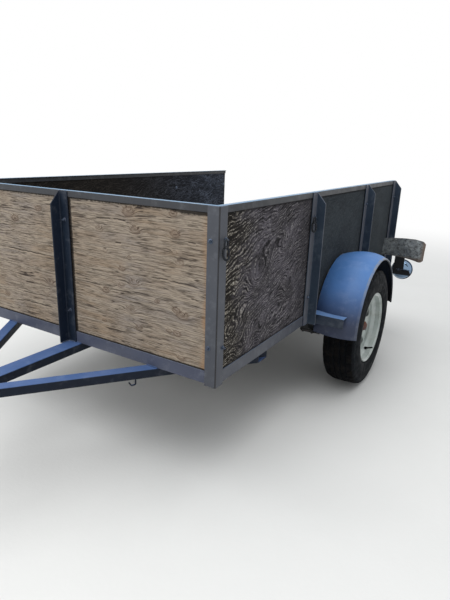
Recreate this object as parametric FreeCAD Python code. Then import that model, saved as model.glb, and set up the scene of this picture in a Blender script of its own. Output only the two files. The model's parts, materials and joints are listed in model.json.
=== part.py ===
import FreeCAD, Part
import math
import os

os.makedirs("parts", exist_ok=True)
V = FreeCAD.Vector

# Working frame, in mm: X to the trailer's left, Y to the rear from the front face of the posts,
# Z up from the lower edge of the bed rails. Everything is moved to the stored frame at the end.

# Bed
BED_W = 1524.0        # over the outer faces of the posts, 60 in
BED_L = 2438.0        # front posts to rear posts, 96 in
BED_H = 674.0         # rail's lower edge to the top rail's upper face
RAIL_LEG = 50.8       # lower rails, 2 x 2 x 3/16 in angle
STEEL = 4.8           # leg thickness of rails, posts and cross members
TOP_LEG = 25.4        # top rails, 1 x 1 x 1/8 in angle
TOP_T = 3.2
PLY = 12.7            # side and front panels
PANEL_LOW = 10.0      # panels stand on the rail's root fillet
CROSS_LEG = 38.1      # cross members, 1 1/2 in angle
CROSS_COUNT = 5
FLOOR_T = 12.7

# Posts, 2 x 2 in angle: the flat leg lies on the rails, the fin stands outwards
POST_LEG = 50.8
POST_FIN = 50.8
FIN_CUT = 54.0        # how much lower the fin's outer edge ends than its root
POST_MID = -43.0      # fin edge of the front middle post
POST_DROP = 6.0       # corner posts end this much below the rails

# Tongue
TONGUE_W = 76.2       # centre tube, 3 x 1 1/2 in
TONGUE_H = 38.1
TONGUE_WALL = 3.2
TONGUE_FRONT = -1100.0
TUBE_CORNER = 5.0
BRACE_W = 50.8        # braces, 2 x 1 1/2 in
BRACE_X = 447.0       # middle of a brace where it passes under the front rail
BRACE_SLOPE = 0.76    # sideways run for each mm rearwards

# Coupler for a 50.8 mm ball
SOCKET_R = 25.7
COUPLER_T = 4.0
COUPLER_LIP = 5.0
BALL_AHEAD = 80.0     # ball centre in front of the tube's end
BALL_Z = -15.0

# Running gear
AXLE_BACK = 126.0     # axle behind the bed's middle
AXLE_Z = -114.0
AXLE_R = 25.4
TYRE_R = 344.0
TYRE_W = 196.0
TYRE_OUT = 136.0      # tyre's middle plane outside the posts
RIM_SEAT_R = 190.5    # 15 in rim
SPINDLE_R = 17.45
HUB_BORE_R = 17.5
SPRING_HALF = 330.0   # eye to axle centre, 26 in spring
SPRING_W = 44.5
SPRING_IN = 44.0      # spring's middle inside the posts' face
LEAF_T = 7.0
LEAF_GAP = 0.3
EYE_Z = -88.0
EYE_R = 13.0
PIN_R = 7.1
POST_1_AHEAD = 465.0  # rear edge of the first side post, in front of the axle
POST_2_BACK = 397.0   # rear edge of the second side post, behind the axle

# Fenders
FENDER_R = 362.0      # at the inner edge
FENDER_CROWN = 28.0   # how much higher the sheet's crown lies
FENDER_CROWN_OUT = 138.0   # the crown from the inner edge
FENDER_EDGE_R = 366.0      # at the outer edge
FENDER_Z = -70.0
FENDER_T = 2.0
FENDER_BEAD = 6.0
FENDER_W = 239.7
FENDER_FRONT_Z = -76.0   # the sheet comes down lower in front than behind
FENDER_REAR_Z = -46.0
BRACKET_Z = 44.0      # top of the bracket in front of each fender
BRACKET_W = 181.0
BRACKET_AHEAD = 424.0      # its front face, ahead of the axle

# Jack on the tongue's left side
JACK_BACK = 215.0     # behind the tube's front end
JACK_OUT = 77.9       # jack's middle outside the tube's side
JACK_TUBE_R = 25.4
JACK_RAM_R = 21.5
JACK_TUBE_LOW = -200.0
JACK_TUBE_TOP = 300.0
JACK_STUB_R = 25.0
JACK_FOOT_R = 60.0
CRANK_R = 6.0
CRANK_ARM = 120.0

# Lamps and plate
LAMP_OUT = 154.0      # lamp's middle outside the posts
LAMP_AHEAD = 108.0    # lens rim in front of the bed's rear end
LAMP_Z = 41.0
LAMP_R = 76.0
LAMP_DEEP = 60.0
PLATE_W = 304.8
PLATE_H = 152.4
PLATE_LEAN = 22.0     # its top leans forwards

HALF = BED_W / 2.0
SKIN = HALF - STEEL               # outer face of the rails
DECK = CROSS_LEG + FLOOR_T
AXLE_Y = BED_L / 2.0 + AXLE_BACK
GROUND = AXLE_Z - TYRE_R
BALL_Y = TONGUE_FRONT - BALL_AHEAD
JACK_Y = TONGUE_FRONT + JACK_BACK
JACK_Z = -TONGUE_H / 2.0
JACK_X = TONGUE_W / 2.0 + JACK_OUT
TYRE_X = HALF + TYRE_OUT          # the wheel disc bolts to the hub in this plane
SPRING_X = HALF - SPRING_IN
PARTS = {}


def box(x0, x1, y0, y1, z0, z1):
    return Part.makeBox(x1 - x0, y1 - y0, z1 - z0, V(x0, y0, z0))


def point(axis, at, u, v):
    """A point from its place along one axis and its two other coordinates in X, Y, Z order."""
    if axis == "x":
        return V(at, u, v)
    if axis == "y":
        return V(u, at, v)
    return V(u, v, at)


def outline(rows, to3d):
    """Closed wire. A row of two numbers ends a line, a row of four is an arc's middle and end."""
    edges = []
    first = to3d(*rows[0])
    last = first
    for row in [*rows[1:], rows[0]]:
        end = to3d(*row[-2:])
        if len(row) == 4:
            edges.append(Part.Arc(last, to3d(*row[:2]), end).toShape())
        elif last.distanceToPoint(end) > 1e-6:
            edges.append(Part.LineSegment(last, end).toShape())
        last = end
    return Part.Wire(edges)


def prism(axis, rows, a, b):
    wire = outline(rows, lambda u, v: point(axis, a, u, v))
    return Part.Face(wire).extrude(point(axis, b - a, 0, 0))


def rod(axis, at, centre, radius, length):
    """Round bar along one axis, from its place on that axis and its two other coordinates."""
    return Part.makeCylinder(radius, length, point(axis, at, *centre), point(axis, 1, 0, 0))


def hexagon(axis, at, centre, flats, length):
    r = flats / math.sqrt(3.0)
    rows = [(centre[0] + r * math.cos(k * math.pi / 3), centre[1] + r * math.sin(k * math.pi / 3)) for k in range(6)]
    return prism(axis, rows, at, at + length)


def mirror(shape):
    return shape.mirror(V(0, 0, 0), V(1, 0, 0))


def revolve(axis, rows, centre, angle=360):
    """Turn an outline of (place on the axis, radius) rows about the line through centre."""
    start = point(axis, 0, *centre)
    out = V(0, 0, 1) if axis != "z" else V(1, 0, 0)
    wire = outline(rows, lambda a, r: start + point(axis, a, 0, 0) + out * r)
    return Part.Face(wire).revolve(start, point(axis, 1, 0, 0), angle)


def bulge(apex, foot):
    """Middle of the arc from foot, a (place, radius) point, to apex, where it runs square to the axis."""
    da = foot[0] - apex[0]
    dr = foot[1] - apex[1]
    r = (da * da + dr * dr) / (2 * abs(da))
    half = math.atan2(dr, r - abs(da)) / 2
    return (apex[0] + math.copysign(r * (1 - math.cos(half)), da), apex[1] + r * math.sin(half))


def bent_rod(points, radius, bend):
    """Round rod through the points, with an arc of the bend radius at each inner point."""
    edges = []
    last = points[0]
    for i in range(1, len(points) - 1):
        a = (points[i - 1] - points[i]).normalize()
        b = (points[i + 1] - points[i]).normalize()
        turn = math.pi - a.getAngle(b)
        cut = bend * math.tan(turn / 2)
        start = points[i] + a * cut
        end = points[i] + b * cut
        inward = (a + b).normalize()
        middle = points[i] + inward * (bend / math.cos(turn / 2) - bend)
        edges.append(Part.LineSegment(last, start).toShape())
        edges.append(Part.Arc(start, middle, end).toShape())
        last = end
    edges.append(Part.LineSegment(last, points[-1]).toShape())
    ring = Part.Wire(Part.makeCircle(radius, points[0], points[1] - points[0]))
    return Part.Wire(edges).makePipeShell([ring], True, False)


def angle_rows(heel, u, v, leg_u, leg_v, t, root, toe):
    """Section of a rolled angle: square heel, rounded toes, fillet in the root."""
    def at(a, b):
        return (heel[0] + u[0] * a + v[0] * b, heel[1] + u[1] * a + v[1] * b)
    k = math.sqrt(0.5)
    rows = [at(0, 0), at(leg_u, 0), at(leg_u, t - toe)]
    rows.append((*at(leg_u - toe + toe * k, t - toe + toe * k), *at(leg_u - toe, t)))
    rows.append(at(t + root, t))
    if root > 0:
        rows.append((*at(t + root - root * k, t + root - root * k), *at(t, t + root)))
    rows.append(at(t, leg_v - toe))
    rows.append((*at(t - toe + toe * k, leg_v - toe + toe * k), *at(t - toe, leg_v)))
    rows.append(at(0, leg_v))
    return rows


def rounded(shape, radius, picks):
    return shape.makeFillet(radius, [e for e in shape.Edges if picks(e)])


def runs_along(axis):
    way = point(axis, 1, 0, 0)

    def test(edge):
        if len(edge.Vertexes) != 2:
            return False
        run = edge.Vertexes[1].Point - edge.Vertexes[0].Point
        return abs(abs(run.normalize().dot(way)) - 1) < 1e-6
    return test


def both(name, shape):
    PARTS[name + "_l"] = shape
    PARTS[name + "_r"] = mirror(shape)


def bed_rails():
    s = STEEL
    leg = RAIL_LEG
    bar = prism("y", angle_rows((SKIN, 0), (0, 1), (-1, 0), leg, leg, s, s, s / 2), s, BED_L)
    low = SKIN - leg - 1
    bar = bar.cut(box(low, SKIN + 1, 0, s + s, -1, leg + 1))
    bar = bar.cut(box(low, SKIN - s, 0, s + leg, -1, s + s + 1))
    bar = bar.cut(box(low, SKIN + 1, BED_L - s, BED_L + 1, -1, leg + 1))
    bar = bar.cut(box(low, SKIN - s, BED_L - leg, BED_L + 1, -1, s + s + 1))
    both("side_rail", bar)
    for name, heel, way in (("front_rail", s, 1), ("rear_rail", BED_L, -1)):
        bar = prism("x", angle_rows((heel, 0), (0, 1), (way, 0), leg, leg, s, s, s / 2), -SKIN, SKIN)
        a = min(heel + way * s, heel + way * leg * 2)
        corner = box(SKIN - s, SKIN + 1, a, a + leg * 2 - s, -1, leg + 1)
        PARTS[name] = bar.cut(corner).cut(mirror(corner))


def top_rails():
    t = TOP_T
    leg = TOP_LEG
    z = BED_H
    root = STEEL - TOP_T - 0.1
    bar = prism("y", angle_rows((SKIN, z), (0, -1), (-1, 0), leg, leg, t, root, t / 2), STEEL + t, BED_L)
    bar = bar.cut(box(SKIN - leg - 1, SKIN - t, 0, STEEL + leg, z - t - root - 1, z + 1))
    both("top_rail", bar)
    bar = prism("x", angle_rows((STEEL, z), (0, -1), (1, 0), leg, leg, t, root, t / 2), -SKIN, SKIN)
    corner = box(SKIN - t, SKIN + 1, STEEL + t, STEEL + leg * 2, z - leg - 1, z + 1)
    PARTS["top_rail_front"] = bar.cut(corner).cut(mirror(corner))


def posts():
    s = STEEL
    top = BED_H - 1
    post = prism("z", angle_rows((HALF, 0), (-1, 0), (0, 1), POST_LEG, POST_LEG, s, 0, s / 2), -POST_DROP, top)
    both("corner_post", post)

    def fin_cut(root, way):
        slope = FIN_CUT / (POST_FIN - s)
        return [(root, top + 1), (root, top), (root + way * 60, top - 60 * slope), (root + way * 60, top + 1)]
    group = []
    for rear in (AXLE_Y - POST_1_AHEAD, AXLE_Y + POST_2_BACK, BED_L):
        post = prism("z", angle_rows((SKIN, rear), (0, -1), (1, 0), POST_LEG, POST_FIN, s, s, s / 2), 0, top)
        group.append(post.cut(prism("y", fin_cut(HALF, 1), rear - POST_LEG, rear + 1)))
    both("side_posts", Part.makeCompound(group))
    rows = angle_rows((POST_MID, s), (1, 0), (0, -1), POST_LEG, POST_FIN, s, s, s / 2)
    post = prism("z", rows, 0, top)
    PARTS["front_post"] = post.cut(prism("x", fin_cut(0, -1), POST_MID - 1, POST_MID + POST_LEG + 1))


def panels():
    high = BED_H - TOP_T
    x0 = SKIN - STEEL
    y0 = STEEL * 2
    PARTS["panel_front"] = box(-x0, x0, y0, y0 + PLY, PANEL_LOW, high)
    both("panel", box(x0 - PLY, x0, y0 + PLY, BED_L - RAIL_LEG - 0.5, PANEL_LOW, high).fuse(
        box(x0 - PLY, x0, BED_L - RAIL_LEG - 0.5, BED_L - STEEL, PANEL_LOW, high)).removeSplitter())
    x1 = x0 - PLY - 0.3
    PARTS["floor"] = box(-x1, x1, y0 + PLY + 0.3, BED_L - STEEL - 0.3, CROSS_LEG, DECK)
    bars = []
    end = SKIN - RAIL_LEG
    for k in range(CROSS_COUNT):
        y = BED_L * (k + 1) / (CROSS_COUNT + 1)
        rows = angle_rows((y, CROSS_LEG), (0, -1), (1, 0), CROSS_LEG, CROSS_LEG, STEEL, STEEL, STEEL / 2)
        bars.append(prism("x", rows, -end, end))
    PARTS["cross_members"] = Part.makeCompound(bars)


def tongue():
    w = TONGUE_W / 2
    h = TONGUE_H
    t = TONGUE_WALL
    back = BED_L / 2 + CROSS_LEG
    along = runs_along("y")
    outer = rounded(box(-w, w, TONGUE_FRONT, back, -h, 0), TUBE_CORNER, along)
    inner = rounded(box(t - w, w - t, TONGUE_FRONT - 1, back + 1, t - h, -t), TUBE_CORNER - t, along)
    PARTS["tongue_tube"] = outer.cut(inner)

    end = SKIN - STEEL
    stretch = math.hypot(1.0, BRACE_SLOPE)

    def plan(half):
        rows = []
        for x, side in ((w - 20, -1), (w - 20, 1), (end + 20, 1), (end + 20, -1)):
            rows.append((x, (x - BRACE_X - side * half * stretch) / BRACE_SLOPE))
        return rows

    def slanted(edge):
        run = edge.Vertexes[1].Point - edge.Vertexes[0].Point
        return run.Length > 300
    outer = rounded(prism("z", plan(BRACE_W / 2), -h, 0), TUBE_CORNER, slanted)
    inner = rounded(prism("z", plan(BRACE_W / 2 - t), t - h, -t), TUBE_CORNER - t, slanted)
    brace = outer.cut(inner).common(box(w, end, -2000, 2000, -h, 0))
    # Small wire hook welded under each brace
    y = -60.0
    x = BRACE_X + BRACE_SLOPE * y + 16
    hook = bent_rod([V(x, y, -h + 2), V(x, y, -h - 26), V(x - 14, y - 10, -h - 32), V(x - 22, y - 15, -h - 18)], 3.2, 6)
    both("brace", brace.fuse(hook).removeSplitter())


def coupler():
    t = COUPLER_T
    w = TONGUE_W / 2 + 0.3
    front = TONGUE_FRONT
    low = 4 - TONGUE_H
    r = SOCKET_R + 8
    c = math.sqrt(0.5)
    neck = front - 18
    plan = [(w + t, front + 150), (w + t, neck), (r, BALL_Y)]
    plan.append((r * c, BALL_Y - r * c, 0, BALL_Y - r))
    plan.append((-r * c, BALL_Y - r * c, -r, BALL_Y))
    plan.extend([(-w - t, neck), (-w - t, front + 150)])
    body = prism("z", plan, low, t)
    top_edges = [e for e in body.Edges if e.BoundBox.ZMin > t - 0.01 and e.BoundBox.YMin < front + 149]
    body = body.makeFillet(5.0, top_edges)
    lip = prism("z", plan, low, low + 4).makeOffsetShape(COUPLER_LIP, 0.01, join=2)
    lip = lip.common(box(-90, 90, BALL_Y - 80, neck + 10, low, low + 4))
    dome = Part.makeSphere(SOCKET_R + 5, V(0, BALL_Y, BALL_Z)).common(box(-60, 60, BALL_Y - 60, BALL_Y + 60, 0, 60))
    body = body.fuse([lip, dome])
    body = body.cut(box(-w, w, front - 0.3, front + 151, low - 1, 0.3))
    hollow = box(-w + 6, w - 6, BALL_Y + SOCKET_R + 6, front + 1, low - 1, 0.3)
    socket = Part.makeSphere(SOCKET_R, V(0, BALL_Y, BALL_Z)).fuse(rod("z", low - 2, (0, BALL_Y), SOCKET_R, BALL_Z - low + 2))
    body = body.cut(hollow).cut(socket)
    # Latch: two ears with the safety pin's hole, and the lever between them
    y = front - 2
    ear_rows = [(y - 45, t), (y + 35, t), (y + 35, 18), (y + 33, 24, y + 27, 26), (y - 10, 34), (y - 22, 36, y - 32, 28)]
    ears = prism("x", ear_rows, 12, 16)
    ears = ears.fuse(mirror(ears)).cut(rod("x", -30, (y + 20, 14), 3.6, 60))
    lever = [(y - 50, t - 1), (y - 36, t - 1), (y - 30, 16), (y + 20, 24), (y + 90, 26, y + 150, 42), (y + 149, 47)]
    lever.extend([(y + 88, 32, y + 18, 30), (y - 32, 24), (y - 48, 18, y - 50, 8)])
    lever = prism("x", lever, -11.9, 11.9)
    pin = rod("x", -18, (y - 26, 22), 4, 36)
    PARTS["coupler"] = body.fuse([ears, lever, pin]).removeSplitter()


def jack():
    x0 = TONGUE_W / 2
    y = JACK_Y
    z = JACK_Z
    plate = rounded(box(x0, x0 + 6, y - 50, y + 50, z - 48, z + 48), 12, runs_along("x"))
    stub = rod("x", x0 + 6, (y, z), JACK_STUB_R, 34).cut(rod("x", x0 + 6, (y, z), JACK_STUB_R - 4, 34))
    straps = []
    for dy in (-40, 40):
        for dz in (-28, 28):
            straps.append(hexagon("x", x0 + 6, (y + dy, z + dz), 16, 8))
            straps.append(rod("x", x0 + 14, (y + dy, z + dz), 4.8, 7))
    PARTS["jack_bracket"] = plate.fuse([stub, *straps]).removeSplitter()

    end = JACK_X - JACK_TUBE_R - 6
    start = x0 + 22
    collar = rod("x", start, (y, z), 31, end - start).cut(rod("x", start, (y, z), JACK_STUB_R + 0.08, end - start))
    cheek = rod("x", end, (y, z), 44, 6)
    web = box(end + 3, JACK_X, y - 14, y + 14, z - 40, z + 40)
    pull = rod("x", x0 + 23.5, (y - 37, z), 4.5, 43).fuse(Part.makeTorus(12, 2.2, V(x0 + 62, y - 37, z - 12), V(1, 0, 0)))
    low = JACK_TUBE_LOW
    top = JACK_TUBE_TOP
    rows = [(low, 0), (low, JACK_TUBE_R + 2.5), (low + 12, JACK_TUBE_R + 2.5), (low + 12, JACK_TUBE_R), (top - 14, JACK_TUBE_R)]
    rows.extend([(top - 14, 34), (top + 10, 34), (*bulge((top + 26, 14), (top + 10, 34)), top + 26, 14), (top + 26, 11), (top + 36, 11), (top + 36, 0)])
    body = revolve("z", rows, (JACK_X, y))
    body = body.fuse([collar, cheek, web, pull])
    body = body.cut(rod("z", low - 1, (JACK_X, y), JACK_RAM_R + 0.08, top - low - 20))
    path = [V(JACK_X, y, top + 30), V(JACK_X, y, top + 58), V(JACK_X, y - CRANK_ARM, top + 58), V(JACK_X, y - CRANK_ARM, top + 110)]
    crank = bent_rod(path, CRANK_R, 14)
    tip = (top + 168, 0)
    grip_rows = [(top + 92, 0), (top + 92, 12), (top + 96, 15), (top + 156, 13), (*bulge(tip, (top + 156, 13)), *tip)]
    grip = revolve("z", grip_rows, (JACK_X, y - CRANK_ARM))
    PARTS["jack_tube"] = body.fuse([crank, grip]).removeSplitter()

    ram = rod("z", GROUND + 5, (JACK_X, y), JACK_RAM_R, 60 - GROUND).cut(rod("z", GROUND + 12, (JACK_X, y), JACK_RAM_R - 4, 60 - GROUND))
    f = JACK_FOOT_R
    rows = [(GROUND, 0), (GROUND, f - 8), (GROUND + 2, f - 2, GROUND + 8, f), (GROUND + 12, f), (GROUND + 12, f - 4)]
    rows.extend([(GROUND + 6, f - 8), (GROUND + 6, JACK_RAM_R + 5), (GROUND + 30, JACK_RAM_R + 5), (GROUND + 30, 0)])
    foot = revolve("z", rows, (JACK_X, y))
    pin = rod("x", JACK_X - 34, (y, GROUND + 19), 4, 68)
    PARTS["jack_ram"] = ram.fuse([foot, pin]).removeSplitter()


def crest(apex, foot):
    """Middle of the arc from foot, a (place, radius) point, to apex, where it runs along the axis."""
    da = foot[0] - apex[0]
    dr = apex[1] - foot[1]
    r = (da * da + dr * dr) / (2 * dr)
    half = math.asin(abs(da) / r) / 2
    return (apex[0] + math.copysign(r * math.sin(half), da), apex[1] - r * (1 - math.cos(half)))


def fenders():
    """Half-round sheets with a crowned section and a rolled outer edge."""
    t = FENDER_T
    r = FENDER_R
    a = HALF + 0.3
    b = a + FENDER_W
    q = FENDER_BEAD
    c = (AXLE_Y, FENDER_Z)
    edge = b - q

    def section(grow):
        top = (a + FENDER_CROWN_OUT, r + FENDER_CROWN + grow)
        inner = (a, r + grow)
        outer = (edge, FENDER_EDGE_R + grow)
        return inner, (*crest(top, inner), *top), (*crest(top, outer), *outer), top
    inner, rise, fall, top = section(0)
    inner_low, _, fall_low, top_low = section(-t)
    rows = [inner, rise, fall, fall_low[-2:]]
    rows.append((*crest(top_low, fall_low[-2:]), *top_low))
    rows.append((*crest(top_low, inner_low), *inner_low))
    sheet = revolve("x", rows, c)
    bead = Part.makeTorus(FENDER_EDGE_R - q, q, V(edge, AXLE_Y, FENDER_Z), V(1, 0, 0))
    wide = r + FENDER_CROWN + 9
    high = FENDER_Z + wide
    keep = box(a - 1, b + 1, AXLE_Y - wide, AXLE_Y, FENDER_FRONT_Z, high)
    keep = keep.fuse(box(a - 1, b + 1, AXLE_Y, AXLE_Y + wide, FENDER_REAR_Z, high)).removeSplitter()
    both("fender", sheet.fuse(bead).common(keep).removeSplitter())

    # Brackets of angle in front and behind, cut to the fender's curve
    s = STEEL
    z = BRACKET_Z
    leg = RAIL_LEG
    far = HALF + BRACKET_W
    inner, rise, fall, top = section(0.4)
    room = revolve("x", [(a, 0), inner, rise, fall, (edge, 0)], c)
    y = AXLE_Y - BRACKET_AHEAD
    front = prism("x", angle_rows((y, z), (0, -1), (1, 0), leg, 72, s, s, s / 2), SKIN, far).cut(room)
    y = AXLE_Y + math.sqrt(r * r - (-s - FENDER_Z) ** 2) + 0.4 + 58
    rear = prism("x", angle_rows((y, 0), (0, -1), (-1, 0), 45, 58, s, s, s / 2), SKIN - s, far).cut(room)
    both("fender_brackets", Part.makeCompound([front, rear]))


def axle():
    s = SPRING_X
    c = (AXLE_Y, AXLE_Z)
    shoulder = TYRE_X - 62
    beam = rod("x", -shoulder, c, AXLE_R, 2 * shoulder).cut(rod("x", 60 - shoulder, c, AXLE_R - 5, 2 * shoulder - 120))
    rows = [(shoulder, 0), (shoulder, 26), (shoulder + 7, 26), (shoulder + 9, 22), (shoulder + 9, SPINDLE_R)]
    rows.extend([(shoulder + 76, SPINDLE_R), (shoulder + 78, SPINDLE_R - 2), (shoulder + 78, 0)])
    spindle = revolve("x", rows, c)
    seat = prism("x", [(AXLE_Y - 30, AXLE_Z - AXLE_R - 5), (AXLE_Y + 30, AXLE_Z - AXLE_R - 5), (AXLE_Y + 23, AXLE_Z - 6), (AXLE_Y - 23, AXLE_Z - 6)],
                 s - 23.5, s + 23.5)
    end = spindle.fuse(seat)
    PARTS["axle"] = beam.fuse([end, mirror(end)]).removeSplitter()


def springs():
    s = SPRING_X
    w = SPRING_W
    t = LEAF_T
    top = AXLE_Z - AXLE_R - 5 - 0.7                  # upper face of the main leaf at the middle
    rise = (EYE_Z - EYE_R) - (top - t)
    radius = (SPRING_HALF ** 2 + rise ** 2) / (2 * rise)   # of the main leaf's lower face
    centre = top - t + radius
    leaves = []
    for row, half in enumerate((SPRING_HALF, 250.0, 165.0)):
        inner = radius - t + row * (t + LEAF_GAP)
        outer = inner + t
        swing = math.asin(half / outer)
        rows = []
        for r, way in ((inner, -1), (inner, 1), (outer, 1), (outer, -1)):
            u = AXLE_Y + way * r * math.sin(swing)
            v = centre - r * math.cos(swing)
            if len(rows) in (1, 3):
                rows.append((AXLE_Y, centre - r, u, v))
            else:
                rows.append((u, v))
        leaf = prism("x", rows, s - w / 2, s + w / 2)
        leaves.append(leaf)
    y0 = AXLE_Y - SPRING_HALF
    y1 = AXLE_Y + SPRING_HALF
    main = leaves[0].fuse([rod("x", s - w / 2, (y, EYE_Z), EYE_R, w) for y in (y0, y1)])
    for y in (y0, y1):
        main = main.cut(rod("x", s - w / 2 - 1, (y, EYE_Z), PIN_R + 0.3, w + 2))
    leaves[0] = main.removeSplitter()
    both("spring", Part.makeCompound(leaves))

    # Front hanger, and rear hanger with its two links
    near = w / 2 + 1.5
    wall = 5.0

    def cheeks(rows, pin_y, pin_z, r):
        out = []
        for x in (s + near, s - near - wall):
            out.append(prism("x", rows, x, x + wall).fuse(rod("x", x, (pin_y, pin_z), r, wall)))
        return out

    def bolt(y, z, reach):
        head = hexagon("x", s + reach, (y, z), 21, 8)
        nut = hexagon("x", s - reach - 11, (y, z), 21, 11)
        return [rod("x", s - reach - 15, (y, z), PIN_R, 2 * reach + 15), head, nut]
    rows = [(y0 - 28, 0), (y0 + 28, 0), (y0 + 17, EYE_Z), (y0 - 17, EYE_Z)]
    front = box(s - near, s + near, y0 - 28, y0 + 28, -wall, 0)
    web = box(s - near, s + near, y0 - 28, y0 - 28 + wall, -34, 0)
    front = front.fuse([web, *cheeks(rows, y0, EYE_Z, 17), *bolt(y0, EYE_Z, near + wall)])
    py = y1 + 18
    pz = -26.0
    rows = [(py - 27, 0), (py + 27, 0), (py + 14, pz), (py - 14, pz)]
    rear = box(s - near, s + near, py - 27, py + 27, -wall, 0)
    rear = rear.fuse([*cheeks(rows, py, pz, 14), *bolt(py, pz, near + 2 * wall + 0.3)])
    links = []
    for x in (s + near + wall + 0.3, s - near - 2 * wall - 0.3):
        run = V(0, y1 - py, EYE_Z - pz).normalize()
        side = V(0, -run.z, run.y) * 14
        rows = []
        for end, way in (((py, pz), 1), ((y1, EYE_Z), 1), ((y1, EYE_Z), -1), ((py, pz), -1)):
            rows.append((end[0] + way * side.y, end[1] + way * side.z))
        link = prism("x", rows, x, x + wall).fuse([rod("x", x, (py, pz), 14, wall), rod("x", x, (y1, EYE_Z), 14, wall)])
        links.append(link.cut(rod("x", x - 1, (py, pz), PIN_R + 0.3, wall + 2)))
    low_bolt = bolt(y1, EYE_Z, near + 2 * wall + 0.3)
    links = links[0].fuse([links[1], *low_bolt]).removeSplitter()
    both("shackle", links)
    both("hangers", Part.makeCompound([front.removeSplitter(), rear.removeSplitter()]))

    # Plate under the leaves, drawn up to the axle tube by two U-bolts
    low = centre - (radius - t + 2 * (t + LEAF_GAP) + t) - 0.3
    plate = rounded(box(s - 42, s + 42, AXLE_Y - 48, AXLE_Y + 48, low - 8, low), 8, runs_along("z"))
    r = AXLE_R + 6.3
    group = []
    for x in (s - 30, s + 30):
        k = math.sqrt(0.5)
        for y in (AXLE_Y - r, AXLE_Y + r):
            group.append(rod("z", low - 26, (x, y), 6, AXLE_Z - low + 26))
            group.append(hexagon("z", low - 19, (x, y), 19, 11))
        group.append(Part.makeTorus(r, 6, V(x, AXLE_Y, AXLE_Z), V(1, 0, 0)).common(
            box(x - 10, x + 10, AXLE_Y - 60, AXLE_Y + 60, AXLE_Z, AXLE_Z + 60)))
    both("spring_plate", plate.fuse(group).removeSplitter())


def wheels():
    x = TYRE_X
    c = (AXLE_Y, AXLE_Z)
    seat = RIM_SEAT_R
    wall = 3.0
    well = seat - 26
    # Rolled rim: lip, bead seat and drop centre, the same section inside and outside by the wall
    right = [(86, seat + 15, 88, seat + 12), (86, seat + 9), (81, seat + 6), (80, seat - wall), (55, seat - 2 - wall)]
    right.extend([(46, seat - 18 - wall), (38, well - wall), (-20, well - wall), (-28, seat - 18 - wall), (-55, seat - 2 - wall)])
    right.extend([(-80, seat - wall), (-81, seat + 6), (-86, seat + 9), (-88, seat + 12)])
    left = [(-86, seat + 15, -83, seat + 16), (-79, seat + 12), (-78, seat), (-53, seat - 2), (-25, seat - 16), (-18, well)]
    left.extend([(36, well), (44, seat - 16), (53, seat - 2), (78, seat), (79, seat + 12), (83, seat + 16)])
    rows = [tuple(v + x if i % 2 == 0 else v for i, v in enumerate(p)) for p in [*left[1:], *right[0:]]]
    rows.append((x - 86, seat + 15, x - 83, seat + 16))
    rows = [(x - 83, seat + 16), *rows[:-1]]
    rows[-1] = (x - 88, seat + 12)
    barrel = revolve("x", rows, c)
    r_in = well - wall
    rows = [(x, 42), (x, 70), (x + 3, 80, x + 12, 92), (x + 22, 112, x + 22, 132), (x + 21, 150, x + 10, r_in)]
    rows.extend([(x + 26, r_in), (x + 26.6, 146, x + 26.6, 132), (x + 26.6, 110, x + 15.6, 89), (x + 7, 77, x + 4.5, 68), (x + 4.5, 42)])
    disc = revolve("x", rows, c)
    window = prism("x", [(-13, 98), (0, 94, 13, 98), (25, 140), (0, 149, -25, 140)], x - 10, x + 50)
    window = rounded(window, 6, runs_along("x"))
    for step in range(8):
        cut = window.copy()
        cut.rotate(V(0, 0, 0), V(1, 0, 0), 45.0 * step + 22.5)
        cut.translate(V(0, AXLE_Y, AXLE_Z))
        disc = disc.cut(cut)
    both("rim", barrel.fuse(disc).removeSplitter())

    w = TYRE_W / 2
    r = TYRE_R
    low = seat + 0.7
    half = [(r, 0), (r - 1.5, 45, r - 6, 70), (r - 12, 82, r - 26, 89), (r - 55, w, r - 88, w), (seat + 34, w - 6, seat + 18, 82)]
    half.extend([(seat + 14, 78.5), (low, 77), (low, 58), (seat + 14, 60), (seat + 40, 80, r - 80, w - 12), (r - 34, 80, r - 22, 66)])
    half.append((r - 17, 40, r - 16, 0))
    out = [(x + 0, r)]
    for p in half[1:]:
        out.append((x + p[1], p[0]) if len(p) == 2 else (x + p[1], p[0], x + p[3], p[2]))
    back = []
    for i in range(len(half) - 1, 0, -1):
        start = half[i - 1][-2:]
        if len(half[i]) == 4:
            back.append((x - half[i][1], half[i][0], x - start[1], start[0]))
        else:
            back.append((x - start[1], start[0]))
    both("tyre", revolve("x", [*out, *back[:-1], (x - 45, r - 1.5, x, r)], c))

    f = x - 0.3
    b = HUB_BORE_R
    rows = [(f - 48, b), (f - 48, 30), (f - 44, 34), (f - 18, 36), (f - 14, 40, f - 10, 62), (f - 8, 70), (f, 70), (f, 36), (f + 3, 34)]
    # The rusty cap over the bearing stands out of the hub
    rows.extend([(f + 24, 31), (f + 24, 28.5), (f + 28, 28.5), (f + 29, 27.5), (f + 46, 27)])
    rows.extend([(*bulge((f + 58, 0), (f + 46, 27)), f + 58, 0), (f + 26, 0), (f + 26, b)])
    both("hub", revolve("x", rows, c))


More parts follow.
